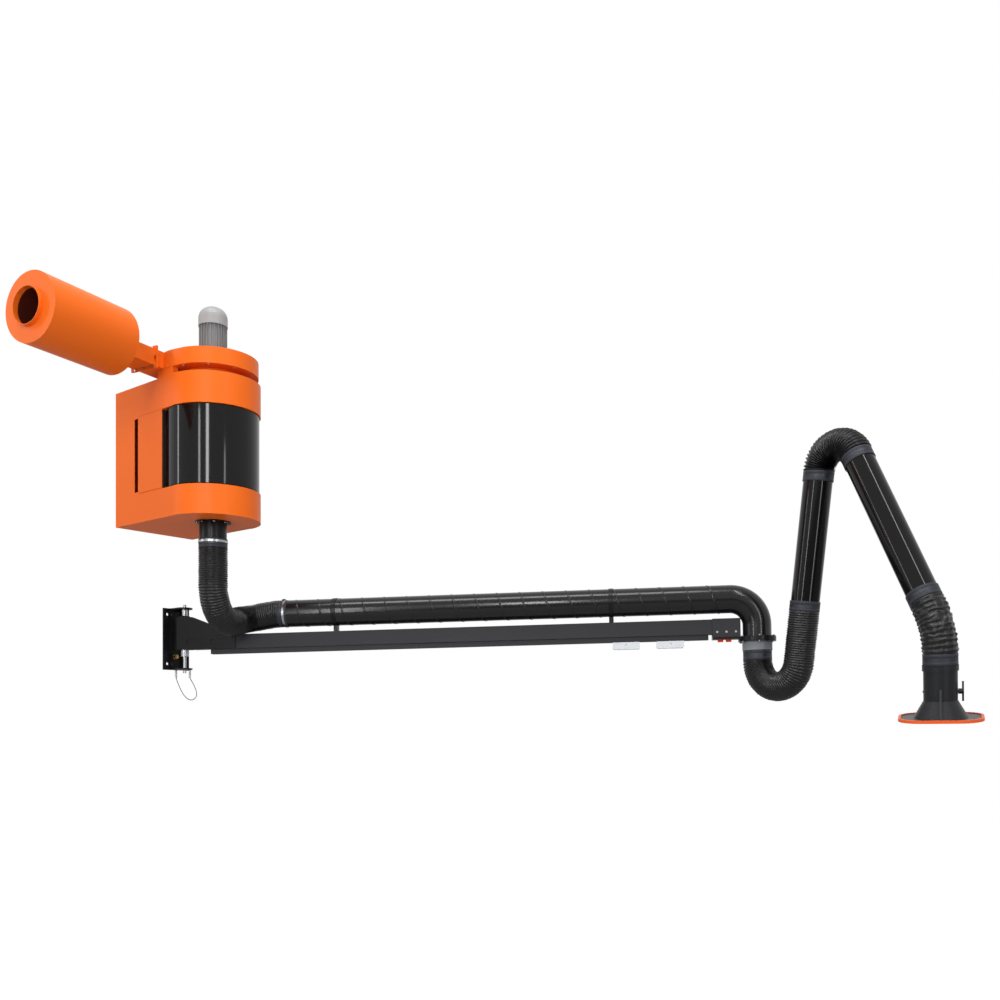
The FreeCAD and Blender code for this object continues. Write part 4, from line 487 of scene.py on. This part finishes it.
def spun_sleeve(name: str, profile: list[tuple[float, float]], sides: int) -> bpy.types.Object:
    """Draw out a round sleeve along X from a ring, one step of the profile at a time.

    Args:
        name: Name of the piece.
        profile: Distance along X and radius of each step.
        sides: How many corners the ring has.

    Returns:
        The new piece, open at both ends, with its faces outwards.
    """
    deselect()
    start, radius = profile[0]
    bpy.ops.mesh.primitive_circle_add(
        vertices=sides, radius=radius, location=(start, 0, 0), rotation=(0, math.pi / 2, 0)
    )
    piece = bpy.context.object
    piece.name = name
    freeze()
    bpy.ops.object.mode_set(mode="EDIT")
    bpy.ops.mesh.select_all(action="SELECT")
    for (before, thin), (after, thick) in zip(profile, profile[1:]):
        bpy.ops.mesh.extrude_region_move(TRANSFORM_OT_translate={"value": (after - before, 0, 0)})
        share = thick / thin
        bpy.ops.transform.resize(value=(1, share, share), center_override=(after, 0, 0))
    bpy.ops.mesh.select_all(action="SELECT")
    bpy.ops.mesh.normals_make_consistent(inside=False)
    bpy.ops.object.mode_set(mode="OBJECT")
    face = piece.data.polygons[0]
    if face.normal.dot(Vector((0, face.center.y, face.center.z))) < 0:
        bpy.ops.object.mode_set(mode="EDIT")
        bpy.ops.mesh.flip_normals()
        bpy.ops.object.mode_set(mode="OBJECT")
    return piece


@dataclass
class Layout:
    """The places of the sub-assemblies, from the sizes of the solids, in metres.

    Attributes:
        pivot: Wall to boom pivot.
        swing_deg: Boom direction from the wall normal.
        rise_deg: Upward slope of the boom.
        swivel: Pivot to arm swivel along the boom.
        arm_deg: Arm direction from the boom.
        duct_level: Duct axis over the pivot line.
        duct_start: Pivot to the start of the duct.
        duct_end: Pivot to the end of the straight duct.
        hose_top: Level of the arm hose's upper end.
    """

    pivot: float = 0.096
    swing_deg: float = 32.2
    rise_deg: float = 1.1
    swivel: float = 3.394
    arm_deg: float = -50.0
    duct_level: float = 0.132
    duct_start: float = 0.659
    duct_end: float = 3.244
    hose_top: float = -0.1642

    def boom(self) -> Matrix:
        """Give the boom's own axes.

        Returns:
            Where they lie in the row frame.
        """
        swing = Matrix.Rotation(math.radians(self.swing_deg), 4, "Z")
        rise = Matrix.Rotation(math.radians(-self.rise_deg), 4, "Y")
        return Matrix.Translation((self.pivot, 0, 0)) @ swing @ rise

    def arm(self) -> Matrix:
        """Give the arm's own axes.

        Returns:
            Where they lie in the row frame.
        """
        turn = Matrix.Rotation(math.radians(self.arm_deg), 4, "Z")
        return self.boom() @ Matrix.Translation((self.swivel, 0, 0)) @ turn


@dataclass
class Course:
    """A middle line of straight runs and tangent arcs.

    Attributes:
        points: Close points along the line.
        heading: Direction at the end.
        length: Length so far.
        step: Distance from point to point.
    """

    points: list[Vector]
    heading: Vector
    length: float = 0.0
    step: float = 0.006

    def straight(self, run: float) -> None:
        """Go on straight.

        Args:
            run: How far.
        """
        count = max(1, round(run / self.step))
        start = self.points[-1].copy()
        for i in range(1, count + 1):
            self.points.append(start + self.heading * (run * i / count))
        self.length += run

    def bend(self, radius: float, axis: Vector, turn: float) -> None:
        """Go on round an arc.

        Args:
            radius: Radius of the arc.
            axis: Axis of the turn, by the right-hand rule.
            turn: Angle in radians.
        """
        centre = self.points[-1] + axis.cross(self.heading) * radius
        arm = self.points[-1] - centre
        count = max(2, round(radius * turn / self.step))
        for i in range(1, count + 1):
            spin = Matrix.Rotation(turn * i / count, 3, axis)
            self.points.append(centre + spin @ arm)
        self.heading = Matrix.Rotation(turn, 3, axis) @ self.heading
        self.length += radius * turn

    def curve(self, name: str) -> bpy.types.Object:
        """Make the line a curve that pieces can be drawn along.

        Args:
            name: Name of the curve.

        Returns:
            The curve object.
        """
        data = bpy.data.curves.new(name, "CURVE")
        data.dimensions = "3D"
        data.twist_mode = "MINIMUM"
        spline = data.splines.new("POLY")
        lay_points(spline, self.points)
        curve = bpy.data.objects.new(name, data)
        bpy.context.scene.collection.objects.link(curve)
        return curve


def draw_along(piece: bpy.types.Object, course: Course) -> None:
    """Bend a piece that lies along X so that it follows a middle line.

    Args:
        piece: The piece.
        course: The line, in the row frame.
    """
    curve = course.curve(piece.name + "_line")
    bend = piece.modifiers.new("follow", "CURVE")
    bend.object = curve
    bend.deform_axis = "POS_X"
    apply_all(piece)
    bpy.data.objects.remove(curve, do_unlink=True)
    settle(piece, Matrix.Identity(4), ROUND_SMOOTH_DEG)


@dataclass(frozen=True)
class ClampSizes:
    """Sizes of a band clamp.

    Attributes:
        place_share: Middle of the band, as a share of the cuff's length.
        width_share: Width of the clamp's groove, as a share of the cuff's length.
        half_share: Half the band's width, as a share of the groove's.
        inner_sink: The band's inner side under the cuff's radius.
        outer_sink: The band's outer side under the cuff's radius.
        screw_level: The screw's middle over the cuff's radius.
        housing_share: Width of the screw housing, as a share of the groove's.
        housing_length: Length of the screw housing round the hose.
        housing_height: Height of the screw housing.
        housing_round: Rounding of the screw housing.
        head_radius: Radius of the screw's head.
        head_length: Length of the screw's head.
        head_offset: Middle of the housing to the middle of the head.
        head_chamfer: Chamfer of the head.
    """

    place_share: float = 0.485
    width_share: float = 0.34
    half_share: float = 0.42
    inner_sink: float = 0.0013
    outer_sink: float = 0.0003
    screw_level: float = 0.0035
    housing_share: float = 0.8
    housing_length: float = 0.030
    housing_height: float = 0.009
    housing_round: float = 0.0028
    head_radius: float = 0.0046
    head_length: float = 0.010
    head_offset: float = 0.019
    head_chamfer: float = 0.0008


@dataclass
class RibbedHose:
    """One ribbed hose with its two clamped cuffs.

    Attributes:
        name: Name of the solid that it stands for.
        course: Its middle line.
        begin: Where it starts along the line.
        end: Where it ends along the line.
        pitch: Distance from rib to rib.
        bodies: The two bodies that it joins.
        bend_from: Where it leaves the first body. Not used.
        bend_to: Where it joins the second body. Not used.
        valley: Radius between the ribs.
        crest: Radius on the ribs.
        fold: How far the cloth bulges and sinks between the cuffs.
        fold_size: Size of one bulge.
        slack: Length beside a cuff over which the cloth comes loose.
        cuff: Length of a cuff.
        cuff_radius: Radius of a cuff.
        cuff_wall: Thickness of a cuff.
        cuff_round: Rounding of a cuff's ends.
        groove: Depth of the clamp's groove.
        clamp_turn: Where the clamp screws sit round the hose, in radians.
    """

    name: str
    course: Course
    begin: float
    end: float
    pitch: float
    bodies: tuple[str, str]
    bend_from: Vector
    bend_to: Vector
    valley: float = 0.0777
    crest: float = 0.0815
    fold: float = 0.004
    fold_size: float = 0.03
    slack: float = 0.03
    cuff: float = 0.055
    cuff_radius: float = 0.0803
    cuff_wall: float = 0.0035
    cuff_round: float = 0.001
    groove: float = 0.0012
    clamp_turn: float = 0.6

    def build(self, shop: PaintShop) -> None:
        """Make the hose and its cuffs.

        Args:
            shop: Where the finishes come from.
        """
        first, last = self.begin + self.cuff, self.end - self.cuff
        count = round((last - first) / self.pitch)
        step = (last - first) / count
        rise = self.crest - self.valley
        rib = [(first + step * along, self.valley + rise * up) for along, up in RIB_SHARES]
        skin = spun_sleeve(self.name + "_skin", rib, HOSE_SIDES)
        row = skin.modifiers.new("row", "ARRAY")
        row.count = count
        row.use_relative_offset = False
        row.use_constant_offset = True
        row.constant_offset_displace = (step, 0, 0)
        row.use_merge_vertices = True
        row.merge_threshold = MERGE_DISTANCE
        apply_all(skin)
        self._loosen(skin, first, last)
        draw_along(skin, self.course)
        self._crumple(skin)
        shop.dress(skin, Coat.HOSE)
        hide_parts(self.name)
        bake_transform(skin)
        LOG.info("%s with %d ribs", skin.name, count)
        self._cuff(shop, "upper", self.begin, first, self.bodies[0])
        self._cuff(shop, "lower", last, self.end, self.bodies[1])

    def _loosen(self, skin: bpy.types.Object, first: float, last: float) -> None:
        """Mark how loose the cloth is: fast at the cuffs and loose between them.

        Args:
            skin: The hose without its cuffs, still straight.
            first: Where it starts along X.
            last: Where it ends along X.
        """
        loose = skin.vertex_groups.new(name="loose")
        for corner in skin.data.vertices:
            inside = min(corner.co.x - first, last - corner.co.x)
            loose.add([corner.index], min(1.0, max(0.0, inside / self.slack)), "REPLACE")

    def _crumple(self, skin: bpy.types.Object) -> None:
        """Let the cloth bulge and sink unevenly.

        Args:
            skin: The hose without its cuffs.
        """
        folds = bpy.data.textures.new(self.name + "_folds", "CLOUDS")
        folds.noise_scale = self.fold_size
        folds.noise_depth = 1
        folds.cloud_type = "COLOR"
        crumple = skin.modifiers.new("crumple", "DISPLACE")
        crumple.texture = folds
        crumple.texture_coords = "LOCAL"
        crumple.direction = "RGB_TO_XYZ"
        crumple.vertex_group = "loose"
        crumple.mid_level = 0.5
        crumple.strength = self.fold
        apply_all(skin)
        skin.vertex_groups.remove(skin.vertex_groups["loose"])
        bpy.ops.object.shade_smooth_by_angle(angle=math.radians(ROUND_SMOOTH_DEG))

    def _cuff(self, shop: PaintShop, label: str, low: float, high: float, body: str) -> None:
        """Make one cuff with its drawn-in clamp groove.

        Args:
            shop: Where the finishes come from.
            label: Which end.
            low: Where it starts along the line.
            high: Where it ends along the line.
            body: The body that carries it.
        """
        span = high - low
        lip, groove = self.cuff_radius, self.cuff_radius - self.groove
        inside, rounded = lip - self.cuff_wall, lip - self.cuff_round
        steps = (
            (0.0, inside),
            (0.0, rounded),
            (0.03, lip),
            (0.27, lip),
            (0.31, groove),
            (0.66, groove),
            (0.7, lip),
            (0.97, lip),
            (1.0, rounded),
            (1.0, inside),
        )
        profile = [(low + span * along, radius) for along, radius in steps]
        cuff = spun_sleeve(self.name + "_cuff_" + label, profile, HOSE_SIDES)
        draw_along(cuff, self.course)
        shop.dress(cuff, Coat.CUFF)
        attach(cuff, body)
        LOG.info("%s", cuff.name)
        sizes = ClampSizes()
        self._clamp(shop, label, low + span * sizes.place_share, span * sizes.width_share, body)

    def _clamp(self, shop: PaintShop, label: str, middle: float, width: float, body: str) -> None:
        """Make the band clamp in the groove of a cuff, with its screw housing.

        Args:
            shop: Where the finishes come from.
            label: Which end.
            middle: Middle of the band along the line.
            width: Width of the groove.
            body: The body that carries it.
        """
        sizes = ClampSizes()
        low, high = self.cuff_radius - sizes.inner_sink, self.cuff_radius - sizes.outer_sink
        half = width * sizes.half_share
        rear, front = middle - half, middle + half
        rim = [(rear, low), (rear, high), (front, high), (front, low)]
        band = spun_sleeve(self.name + "_clamp_" + label, rim, HOSE_SIDES)
        level = self.cuff_radius + sizes.screw_level
        sides = (width * sizes.housing_share, sizes.housing_length, sizes.housing_height)
        housing = block((middle, 0, level), sides)
        bevel(housing, sizes.housing_round, 3)
        deselect()
        bpy.ops.mesh.primitive_cylinder_add(
            vertices=6,
            radius=sizes.head_radius,
            depth=sizes.head_length,
            location=(middle, sizes.head_offset, level),
        )
        head = bpy.context.object
        head.rotation_euler = (math.pi / 2, 0, 0)
        freeze()
        bevel(head, sizes.head_chamfer, 2)
        pick(band)
        for part in (housing, head):
            part.select_set(True)
        bpy.ops.object.join()
        bpy.ops.object.mode_set(mode="EDIT")
        bpy.ops.mesh.select_all(action="SELECT")
        bpy.ops.transform.rotate(value=self.clamp_turn, orient_axis="X", center_override=(0, 0, 0))
        bpy.ops.object.mode_set(mode="OBJECT")
        draw_along(band, self.course)
        settle(band, Matrix.Identity(4), CLAMP_SMOOTH_DEG)
        shop.dress(band, Coat.CLAMP)
        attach(band, body)


@dataclass(frozen=True)
class Leg:
    """One bend of the arm's middle line and the straight run after it.

    Attributes:
        run: Length of the straight run.
        radius: Radius of the bend, or 0 where there is none.
        turn_deg: Angle of the bend, negative where it turns down.
        roll_deg: How far the bend's plane is rolled about the line.
    """

    run: float
    radius: float = 0.0
    turn_deg: float = 0.0
    roll_deg: float = 0.0


class Arm:
    """The extraction arm's hoses.

    Attributes:
        legs: The middle line from the swivel to the hood.
        shoulder_cover: Length of the shoulder hose past its bend.
        elbow_cover: Length of the elbow hose past each end of its bend.
        wrist_cover: Length of the wrist hose before its bend.
        shoulder_reach: Distance to each side of the shoulder hose's lowest point, for its
            bend_from and bend_to.
        elbow_reach: Distance to each side of the elbow hose's highest point, for its bend_from and
            bend_to.
        wrist_lead: How far before its bend the wrist hose's bend_from point lies.
    """

    legs = (
        Leg(0.061),
        Leg(1.023, 0.150, 170.8),
        Leg(0.930, 0.125, -144.7),
        Leg(0.050, 0.420, -31.7, 12.0),
    )
    shoulder_cover = 0.330
    elbow_cover = 0.062
    wrist_cover = 0.095
    shoulder_reach = 0.07
    elbow_reach = 0.09
    wrist_lead = 0.04

    def __init__(self, layout: Layout) -> None:
        """Lay out the arm's middle line.

        Args:
            layout: Places of the sub-assemblies.
        """
        place = layout.arm()
        start = place @ Vector((0, 0, layout.hose_top))
        self.place = place
        self.course = Course([start], place.to_3x3() @ Vector((0, 0, -1)))
        self.marks: list[float] = []
        for leg in self.legs:
            if leg.radius:
                axis = place.to_3x3() @ Vector((0, -math.copysign(1, leg.turn_deg), 0))
                axis = Matrix.Rotation(math.radians(leg.roll_deg), 3, self.course.heading) @ axis
                self.course.bend(leg.radius, axis, math.radians(abs(leg.turn_deg)))
                self.marks.append(self.course.length)
            self.course.straight(leg.run)
            self.marks.append(self.course.length)

    def at(self, distance: float) -> Vector:
        """Give the point at a distance along the middle line.

        Args:
            distance: Distance from the upper end.

        Returns:
            The nearest of the line's points.
        """
        travelled = 0.0
        for before, after in zip(self.course.points, self.course.points[1:]):
            travelled += (after - before).length
            if travelled >= distance:
                return after
        return self.course.points[-1]

    def build(self, shop: PaintShop) -> None:
        """Make the three hoses of the arm.

        Args:
            shop: Where the finishes come from.
        """
        across = self.place.to_3x3() @ Vector((1, 0, 0))
        drop, lower_begin, lower_end, upper_begin, upper_end, wrist_end, total = self.marks
        bottom = self.at((drop + lower_begin) / 2)
        top = self.at((lower_end + upper_begin) / 2)
        RibbedHose(
            name="shoulder_hose",
            course=self.course,
            begin=0.0,
            end=lower_begin + self.shoulder_cover,
            pitch=0.0125,
            bodies=("arm_base", "lower_arm"),
            bend_from=bottom - across * self.shoulder_reach,
            bend_to=bottom + across * self.shoulder_reach,
        ).build(shop)
        RibbedHose(
            name="elbow_hose",
            course=self.course,
            begin=lower_end - self.elbow_cover,
            end=upper_begin + self.elbow_cover,
            pitch=0.0135,
            bodies=("lower_arm", "upper_arm"),
            bend_from=top - across * self.elbow_reach,
            bend_to=top + across * self.elbow_reach,
            valley=0.0738,
            crest=0.0832,
        ).build(shop)
        RibbedHose(
            name="wrist_hose",
            course=self.course,
            begin=upper_end - self.wrist_cover,
            end=total,
            pitch=0.022,
            bodies=("upper_arm", "wrist"),
            bend_from=self.at(upper_end - self.wrist_lead),
            bend_to=self.at(wrist_end),
            fold=0.014,
            fold_size=0.032,
        ).build(shop)


class InletHose:
    """The hose from the filter unit to the boom duct.

    Attributes:
        top: Where it leaves the inlet collar.
        foot: Where its upright run would meet the run to the boom.
        low_back: Duct start back to the lowest corner, along the boom.
        low_sink: Lowest corner under the duct's axis.
        lead_back: Duct start back to where the hose lines up with the duct.
        radii: Radii of its three bends.
        grip: Distance from each end to the hose's bend_from and bend_to points.
    """

    top = Vector((0.577, -0.140, 0.532))
    foot = Vector((0.577, -0.140, 0.055))
    low_back = 0.299
    low_sink = 0.032
    lead_back = 0.085
    radii = (0.190, 0.135, 0.300)
    grip = 0.06

    def __init__(self, layout: Layout) -> None:
        """Lay out the hose's middle line.

        Args:
            layout: Places of the sub-assemblies.
        """
        boom = layout.boom()
        start, level = layout.duct_start, layout.duct_level
        corners = [
            self.top,
            self.foot,
            boom @ Vector((start - self.low_back, 0, level - self.low_sink)),
            boom @ Vector((start - self.lead_back, 0, level)),
            boom @ Vector((start, 0, level)),
        ]
        self.course = Course([corners[0]], (corners[1] - corners[0]).normalized())
        here = corners[0]
        for i, radius in enumerate(self.radii, start=1):
            come = (corners[i] - corners[i - 1]).normalized()
            leave = (corners[i + 1] - corners[i]).normalized()
            turn = come.angle(leave)
            back = radius * math.tan(turn / 2)
            self.course.straight((corners[i] - here).length - back)
            self.course.bend(radius, come.cross(leave).normalized(), turn)
            here = corners[i] + leave * back
        self.course.straight((corners[-1] - here).length)
        self.corners = corners

    def build(self, shop: PaintShop) -> None:
        """Make the hose.

        Args:
            shop: Where the finishes come from.
        """
        RibbedHose(
            name="inlet_hose",
            course=self.course,
            begin=0.0,
            end=self.course.length,
            pitch=0.0125,
            bodies=("base", "boom"),
            bend_from=self.corners[0] - Vector((0, 0, self.grip)),
            bend_to=self.corners[-1] - self.course.heading * self.grip,
        ).build(shop)


@dataclass
class WireLoop:
    """The thin wire that hangs in a loop under the wall bracket.

    Attributes:
        foot: Where it leaves its first sleeve.
        turn_deg: Direction of the loop from the wall normal.
        span: Distance of its two ends.
        drop: How far it hangs down.
        radius: Radius of the wire.
        length: Length of the wire. Not used.
        shares: Its points, as shares of the span and of the drop.
    """

    foot: Point = (0.042, -0.024, -0.23625)
    turn_deg: float = 39.2
    span: float = 0.084
    drop: float = 0.138
    radius: float = 0.0025
    length: float = 0.332
    shares: Shares = (
        (0, 0),
        (0.26, 0.45),
        (0.69, 0.885),
        (1.17, 1),
        (1.52, 0.81),
        (1.43, 0.435),
        (1, 0),
    )

    def build(self, shop: PaintShop) -> None:
        """Make the wire as one smooth curve.

        Args:
            shop: Where the finishes come from.
        """
        way = Matrix.Rotation(math.radians(self.turn_deg), 3, "Z") @ Vector((1, 0, 0))
        data = bpy.data.curves.new("hanging_wire", "CURVE")
        data.dimensions = "3D"
        data.bevel_depth = self.radius
        data.bevel_resolution = 4
        data.resolution_u = 16
        data.use_fill_caps = True
        spline = data.splines.new("NURBS")
        foot = Vector(self.foot)
        points = []
        for along, down in self.shares:
            points.append(foot + way * (along * self.span) + Vector((0, 0, -down * self.drop)))
        lay_points(spline, points)
        spline.order_u = 3
        spline.use_endpoint_u = True
        wire = bpy.data.objects.new("hanging_wire", data)
        bpy.context.scene.collection.objects.link(wire)
        shop.dress(wire, Coat.WIRE)
        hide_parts("wire_loop")
        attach(wire, "base")
        LOG.info("%s", wire.name)


@dataclass
class GapShadeStrips:
    """Two upright black strips on the column beside the drum, painted shade that stands for the
    shadow in the gap between the column and the drum.

    Attributes:
        face: Where the column's front lies.
        centre: Middle of the column along the wall.
        offset: Middle of the column to the middle of a strip.
        low: Lower end.
        high: Upper end.
        width: Width of a strip.
        depth: Thickness of a strip.
        inset_share: Edge of a strip beside its hollow, as a share of its width.
        sink_share: Depth of the hollow, as a share of the thickness.
        edge: Rounding of the edges.
    """

    face: float = 0.4702
    centre: float = -0.140
    offset: float = 0.2485
    low: float = 0.795
    high: float = 1.228
    width: float = 0.020
    depth: float = 0.0038
    inset_share: float = 0.25
    sink_share: float = 0.3
    edge: float = 0.0008

    def build(self, shop: PaintShop) -> None:
        """Make both strips.

        Args:
            shop: Where the finishes come from.
        """
        for label, side in (("left", -1), ("right", 1)):
            strip = self._strip("gap_shade_strip_" + label, self.centre + side * self.offset)
            # The black rubber finish on these strips is painted shade: it darkens the gap between
            # the column and the drum.
            shop.dress(strip, Coat.RUBBER)
            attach(strip, "base")
            LOG.info("%s", strip.name)

    def _strip(self, name: str, across: float) -> bpy.types.Object:
        """Make one strip with a hollow down its front and rounded edges.

        Args:
            name: Name of the strip.
            across: Middle of the strip along the wall.

        Returns:
            The new strip.
        """
        middle = (self.face + self.depth / 2, across, (self.low + self.high) / 2)
        strip = block(middle, (self.depth, self.width, self.high - self.low))
        strip.name = name
        for face in strip.data.polygons:
            face.select = face.normal.x > FACES_FRONT
        bpy.ops.object.mode_set(mode="EDIT")
        bpy.ops.mesh.select_mode(type="FACE")
        bpy.ops.mesh.inset(thickness=self.width * self.inset_share)
        bpy.ops.transform.translate(value=(-self.depth * self.sink_share, 0, 0))
        bpy.ops.object.mode_set(mode="OBJECT")
        bevel(strip, self.edge, 3)
        settle(strip, Matrix.Identity(4))
        return strip


@dataclass
class DuctSeam:
    """The raised winding seam of the boom duct.

    Attributes:
        layout: Places of the sub-assemblies.
        pitch: Distance from turn to turn.
        radius: Outside radius of the duct.
        bead: Height of the seam's bead.
        flat: Width of the bead, as a share of its height.
        margin: Plain duct at each end.
        steps: Faces in one turn.
    """

    layout: Layout
    pitch: float = 0.134
    radius: float = 0.080
    bead: float = 0.0022
    flat: float = 3.0
    margin: float = 0.01
    steps: int = 56

    def build(self, shop: PaintShop) -> None:
        """Make the seam by drawing a small bead round the duct.

        Args:
            shop: Where the finishes come from.
        """
        deselect()
        middle = (0, self.radius, 0)
        bpy.ops.mesh.primitive_circle_add(vertices=8, radius=self.bead, location=middle)
        seam = bpy.context.object
        seam.name = "duct_seam"
        freeze()
        bpy.ops.object.mode_set(mode="EDIT")
        bpy.ops.mesh.select_all(action="SELECT")
        bpy.ops.transform.resize(value=(self.flat, 1.0, 1.0), center_override=middle)
        bpy.ops.object.mode_set(mode="OBJECT")
        run = self.layout.duct_end - self.layout.duct_start - 2 * self.margin
        turns = run / self.pitch
        wind = seam.modifiers.new("wind", "SCREW")
        wind.axis = "X"
        wind.angle = math.tau * turns
        wind.screw_offset = run
        wind.steps = round(self.steps * turns)
        wind.render_steps = wind.steps
        wind.use_normal_calculate = True
        apply_all(seam)
        start = (self.layout.duct_start + self.margin, 0, self.layout.duct_level)
        settle(seam, self.layout.boom() @ Matrix.Translation(start), ROUND_SMOOTH_DEG)
        shop.dress(seam, Coat.DUCT)
        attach(seam, "boom")
        LOG.info("%s with %.1f turns", seam.name, turns)


@dataclass(frozen=True)
class Lamp:
    """One soft lamp.

    Attributes:
        name: Name of the lamp.
        place: Where it hangs.
        aim: What it points at.
        wide: Its width.
        tall: Its height.
        power: Power in watts.
    """

    name: str
    place: Point
    aim: Point
    wide: float
    tall: float
    power: float

    def hang(self) -> None:
        """Put the lamp in the scene."""
        data = bpy.data.lights.new(self.name, "AREA")
        data.shape = "RECTANGLE"
        data.size, data.size_y = self.wide, self.tall
        data.energy = self.power
        lamp = bpy.data.objects.new(self.name, data)
        place = Vector(self.place)
        lamp.location = place
        lamp.rotation_euler = (Vector(self.aim) - place).to_track_quat("-Z", "Y").to_euler()
        bpy.context.scene.collection.objects.link(lamp)


LAMPS = (
    Lamp("top_lamp", (2.2, -1.2, 5.5), (1.45, 0.0, 0.4), 4.6, 1.4, 205.0),
    Lamp("key_lamp", (5.2, -5.5, 2.4), (1.6, 0.2, 0.7), 0.8, 2.0, 130.0),
    Lamp("left_strip", (2.6, -5.2, 0.9), (1.0, 0.0, 0.9), 0.4, 3.6, 80.0),
    Lamp("right_strip", (8.0, -1.2, 1.0), (3.0, 1.4, 0.4), 0.5, 3.6, 60.0),
    Lamp("far_strip", (-2.6, -4.39, 2.55), (3.76, 1.55, 0.49), 0.3, 4.0, 50.0),
    Lamp("high_strip", (5.56, -0.18, 4.23), (3.76, 1.55, 0.49), 0.35, 3.0, 60.0),
)


@dataclass
class Studio:
    """The floor, the lights and the camera.

    Attributes:
        floor_level: Level of the floor.
        floor_size: Side of the floor.
        floor_grey: How pale the floor is.
        floor_rough: Its roughness.
        floor_glow: Strength of the white that the camera sees of it.
        glow_share: Share of that white in what the camera sees.
        fill: Strength of the even light from all round.
        eye: Where the camera stands.
        yaw_deg: Which way it looks, turned from +Y.
        lens: Focal length in millimetres.
        lift: Upward shift of the frame, as a share of its width.
        sensor: Width of the camera's sensor in millimetres.
        sight: How far the camera sees.
    """

    floor_level: float = -1.75
    floor_size: float = 600.0
    floor_grey: float = 0.55
    floor_rough: float = 0.9
    floor_glow: float = 1.2
    glow_share: float = 0.8
    fill: float = 0.4
    eye: Point = (5.626, -3.756, -0.520)
    yaw_deg: float = 39.2
    lens: float = 38.04
    lift: float = 0.2247
    sensor: float = 36.0
    sight: float = 1000.0

    def build(self) -> None:
        """Set up the floor, the sky, the lamps and the camera."""
        bpy.context.scene.view_settings.view_transform = "Standard"
        self._camera()
        self._floor()
        self._sky()
        for lamp in LAMPS:
            lamp.hang()

    def _camera(self) -> None:
        """Stand the camera where the photograph was taken from."""
        scene = bpy.context.scene
        data = bpy.data.cameras.new("photo_camera")
        data.lens = self.lens
        data.sensor_width = self.sensor
        data.shift_y = self.lift
        data.clip_end = self.sight
        camera = bpy.data.objects.new("photo_camera", data)
        camera.location = self.eye
        camera.rotation_euler = (math.pi / 2, 0, math.radians(self.yaw_deg))
        scene.collection.objects.link(camera)
        scene.camera = camera

    def _floor(self) -> None:
        """Lay the pale floor."""
        deselect()
        bpy.ops.mesh.primitive_plane_add(size=self.floor_size, location=(0, 0, self.floor_level))
        floor = bpy.context.object
        floor.name = "floor"
        material = bpy.data.materials.new("pale_floor")
        material.use_nodes = True
        nodes, links = material.node_tree.nodes, material.node_tree.links
        shader = nodes["Principled BSDF"]
        grey = self.floor_grey
        shader.inputs["Base Color"].default_value = (grey, grey, grey, 1)
        shader.inputs["Roughness"].default_value = self.floor_rough
        glow = nodes.new("ShaderNodeEmission")
        glow.inputs["Color"].default_value = (1, 1, 1, 1)
        glow.inputs["Strength"].default_value = self.floor_glow
        path = nodes.new("ShaderNodeLightPath")
        share = nodes.new("ShaderNodeMath")
        share.operation = "MULTIPLY"
        links.new(path.outputs["Is Camera Ray"], share.inputs[0])
        share.inputs[1].default_value = self.glow_share
        mix = nodes.new("ShaderNodeMixShader")
        links.new(share.outputs[0], mix.inputs[0])
        links.new(shader.outputs[0], mix.inputs[1])
        links.new(glow.outputs[0], mix.inputs[2])
        links.new(mix.outputs[0], nodes["Material Output"].inputs["Surface"])
        floor.data.materials.append(material)

    def _sky(self) -> None:
        """Light the room evenly, with a white background."""
        world = bpy.data.worlds.new("studio")
        bpy.context.scene.world = world
        world.use_nodes = True
        nodes, links = world.node_tree.nodes, world.node_tree.links
        backdrop = nodes["Background"]
        backdrop.inputs["Color"].default_value = (1, 1, 1, 1)
        path = nodes.new("ShaderNodeLightPath")
        seen = path.outputs["Is Camera Ray"]
        for ray in ("Is Glossy Ray", "Is Transmission Ray"):
            either = nodes.new("ShaderNodeMath")
            either.operation = "MAXIMUM"
            links.new(seen, either.inputs[0])
            links.new(path.outputs[ray], either.inputs[1])
            seen = either.outputs[0]
        strength = nodes.new("ShaderNodeMapRange")
        strength.inputs["To Min"].default_value = self.fill
        strength.inputs["To Max"].default_value = 1.0
        links.new(seen, strength.inputs["Value"])
        links.new(strength.outputs["Result"], backdrop.inputs["Strength"])


def dress_solids(shop: PaintShop) -> None:
    """Give every solid its finish.

    Args:
        shop: Where the finishes come from.
    """
    for coat, names in COATS.items():
        for name in names:
            shop.dress(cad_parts[name], coat)


def main() -> None:
    """Build the pieces in order, then the studio."""
    logging.basicConfig(level=logging.INFO, format="%(message)s")
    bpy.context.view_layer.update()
    shop = PaintShop()
    layout = Layout()
    dress_solids(shop)
    Studio().build()
    WireLoop().build(shop)
    InletHose(layout).build(shop)
    Arm(layout).build(shop)
    DuctSeam(layout).build(shop)
    GapShadeStrips().build(shop)


if __name__ == "__main__":
    main()
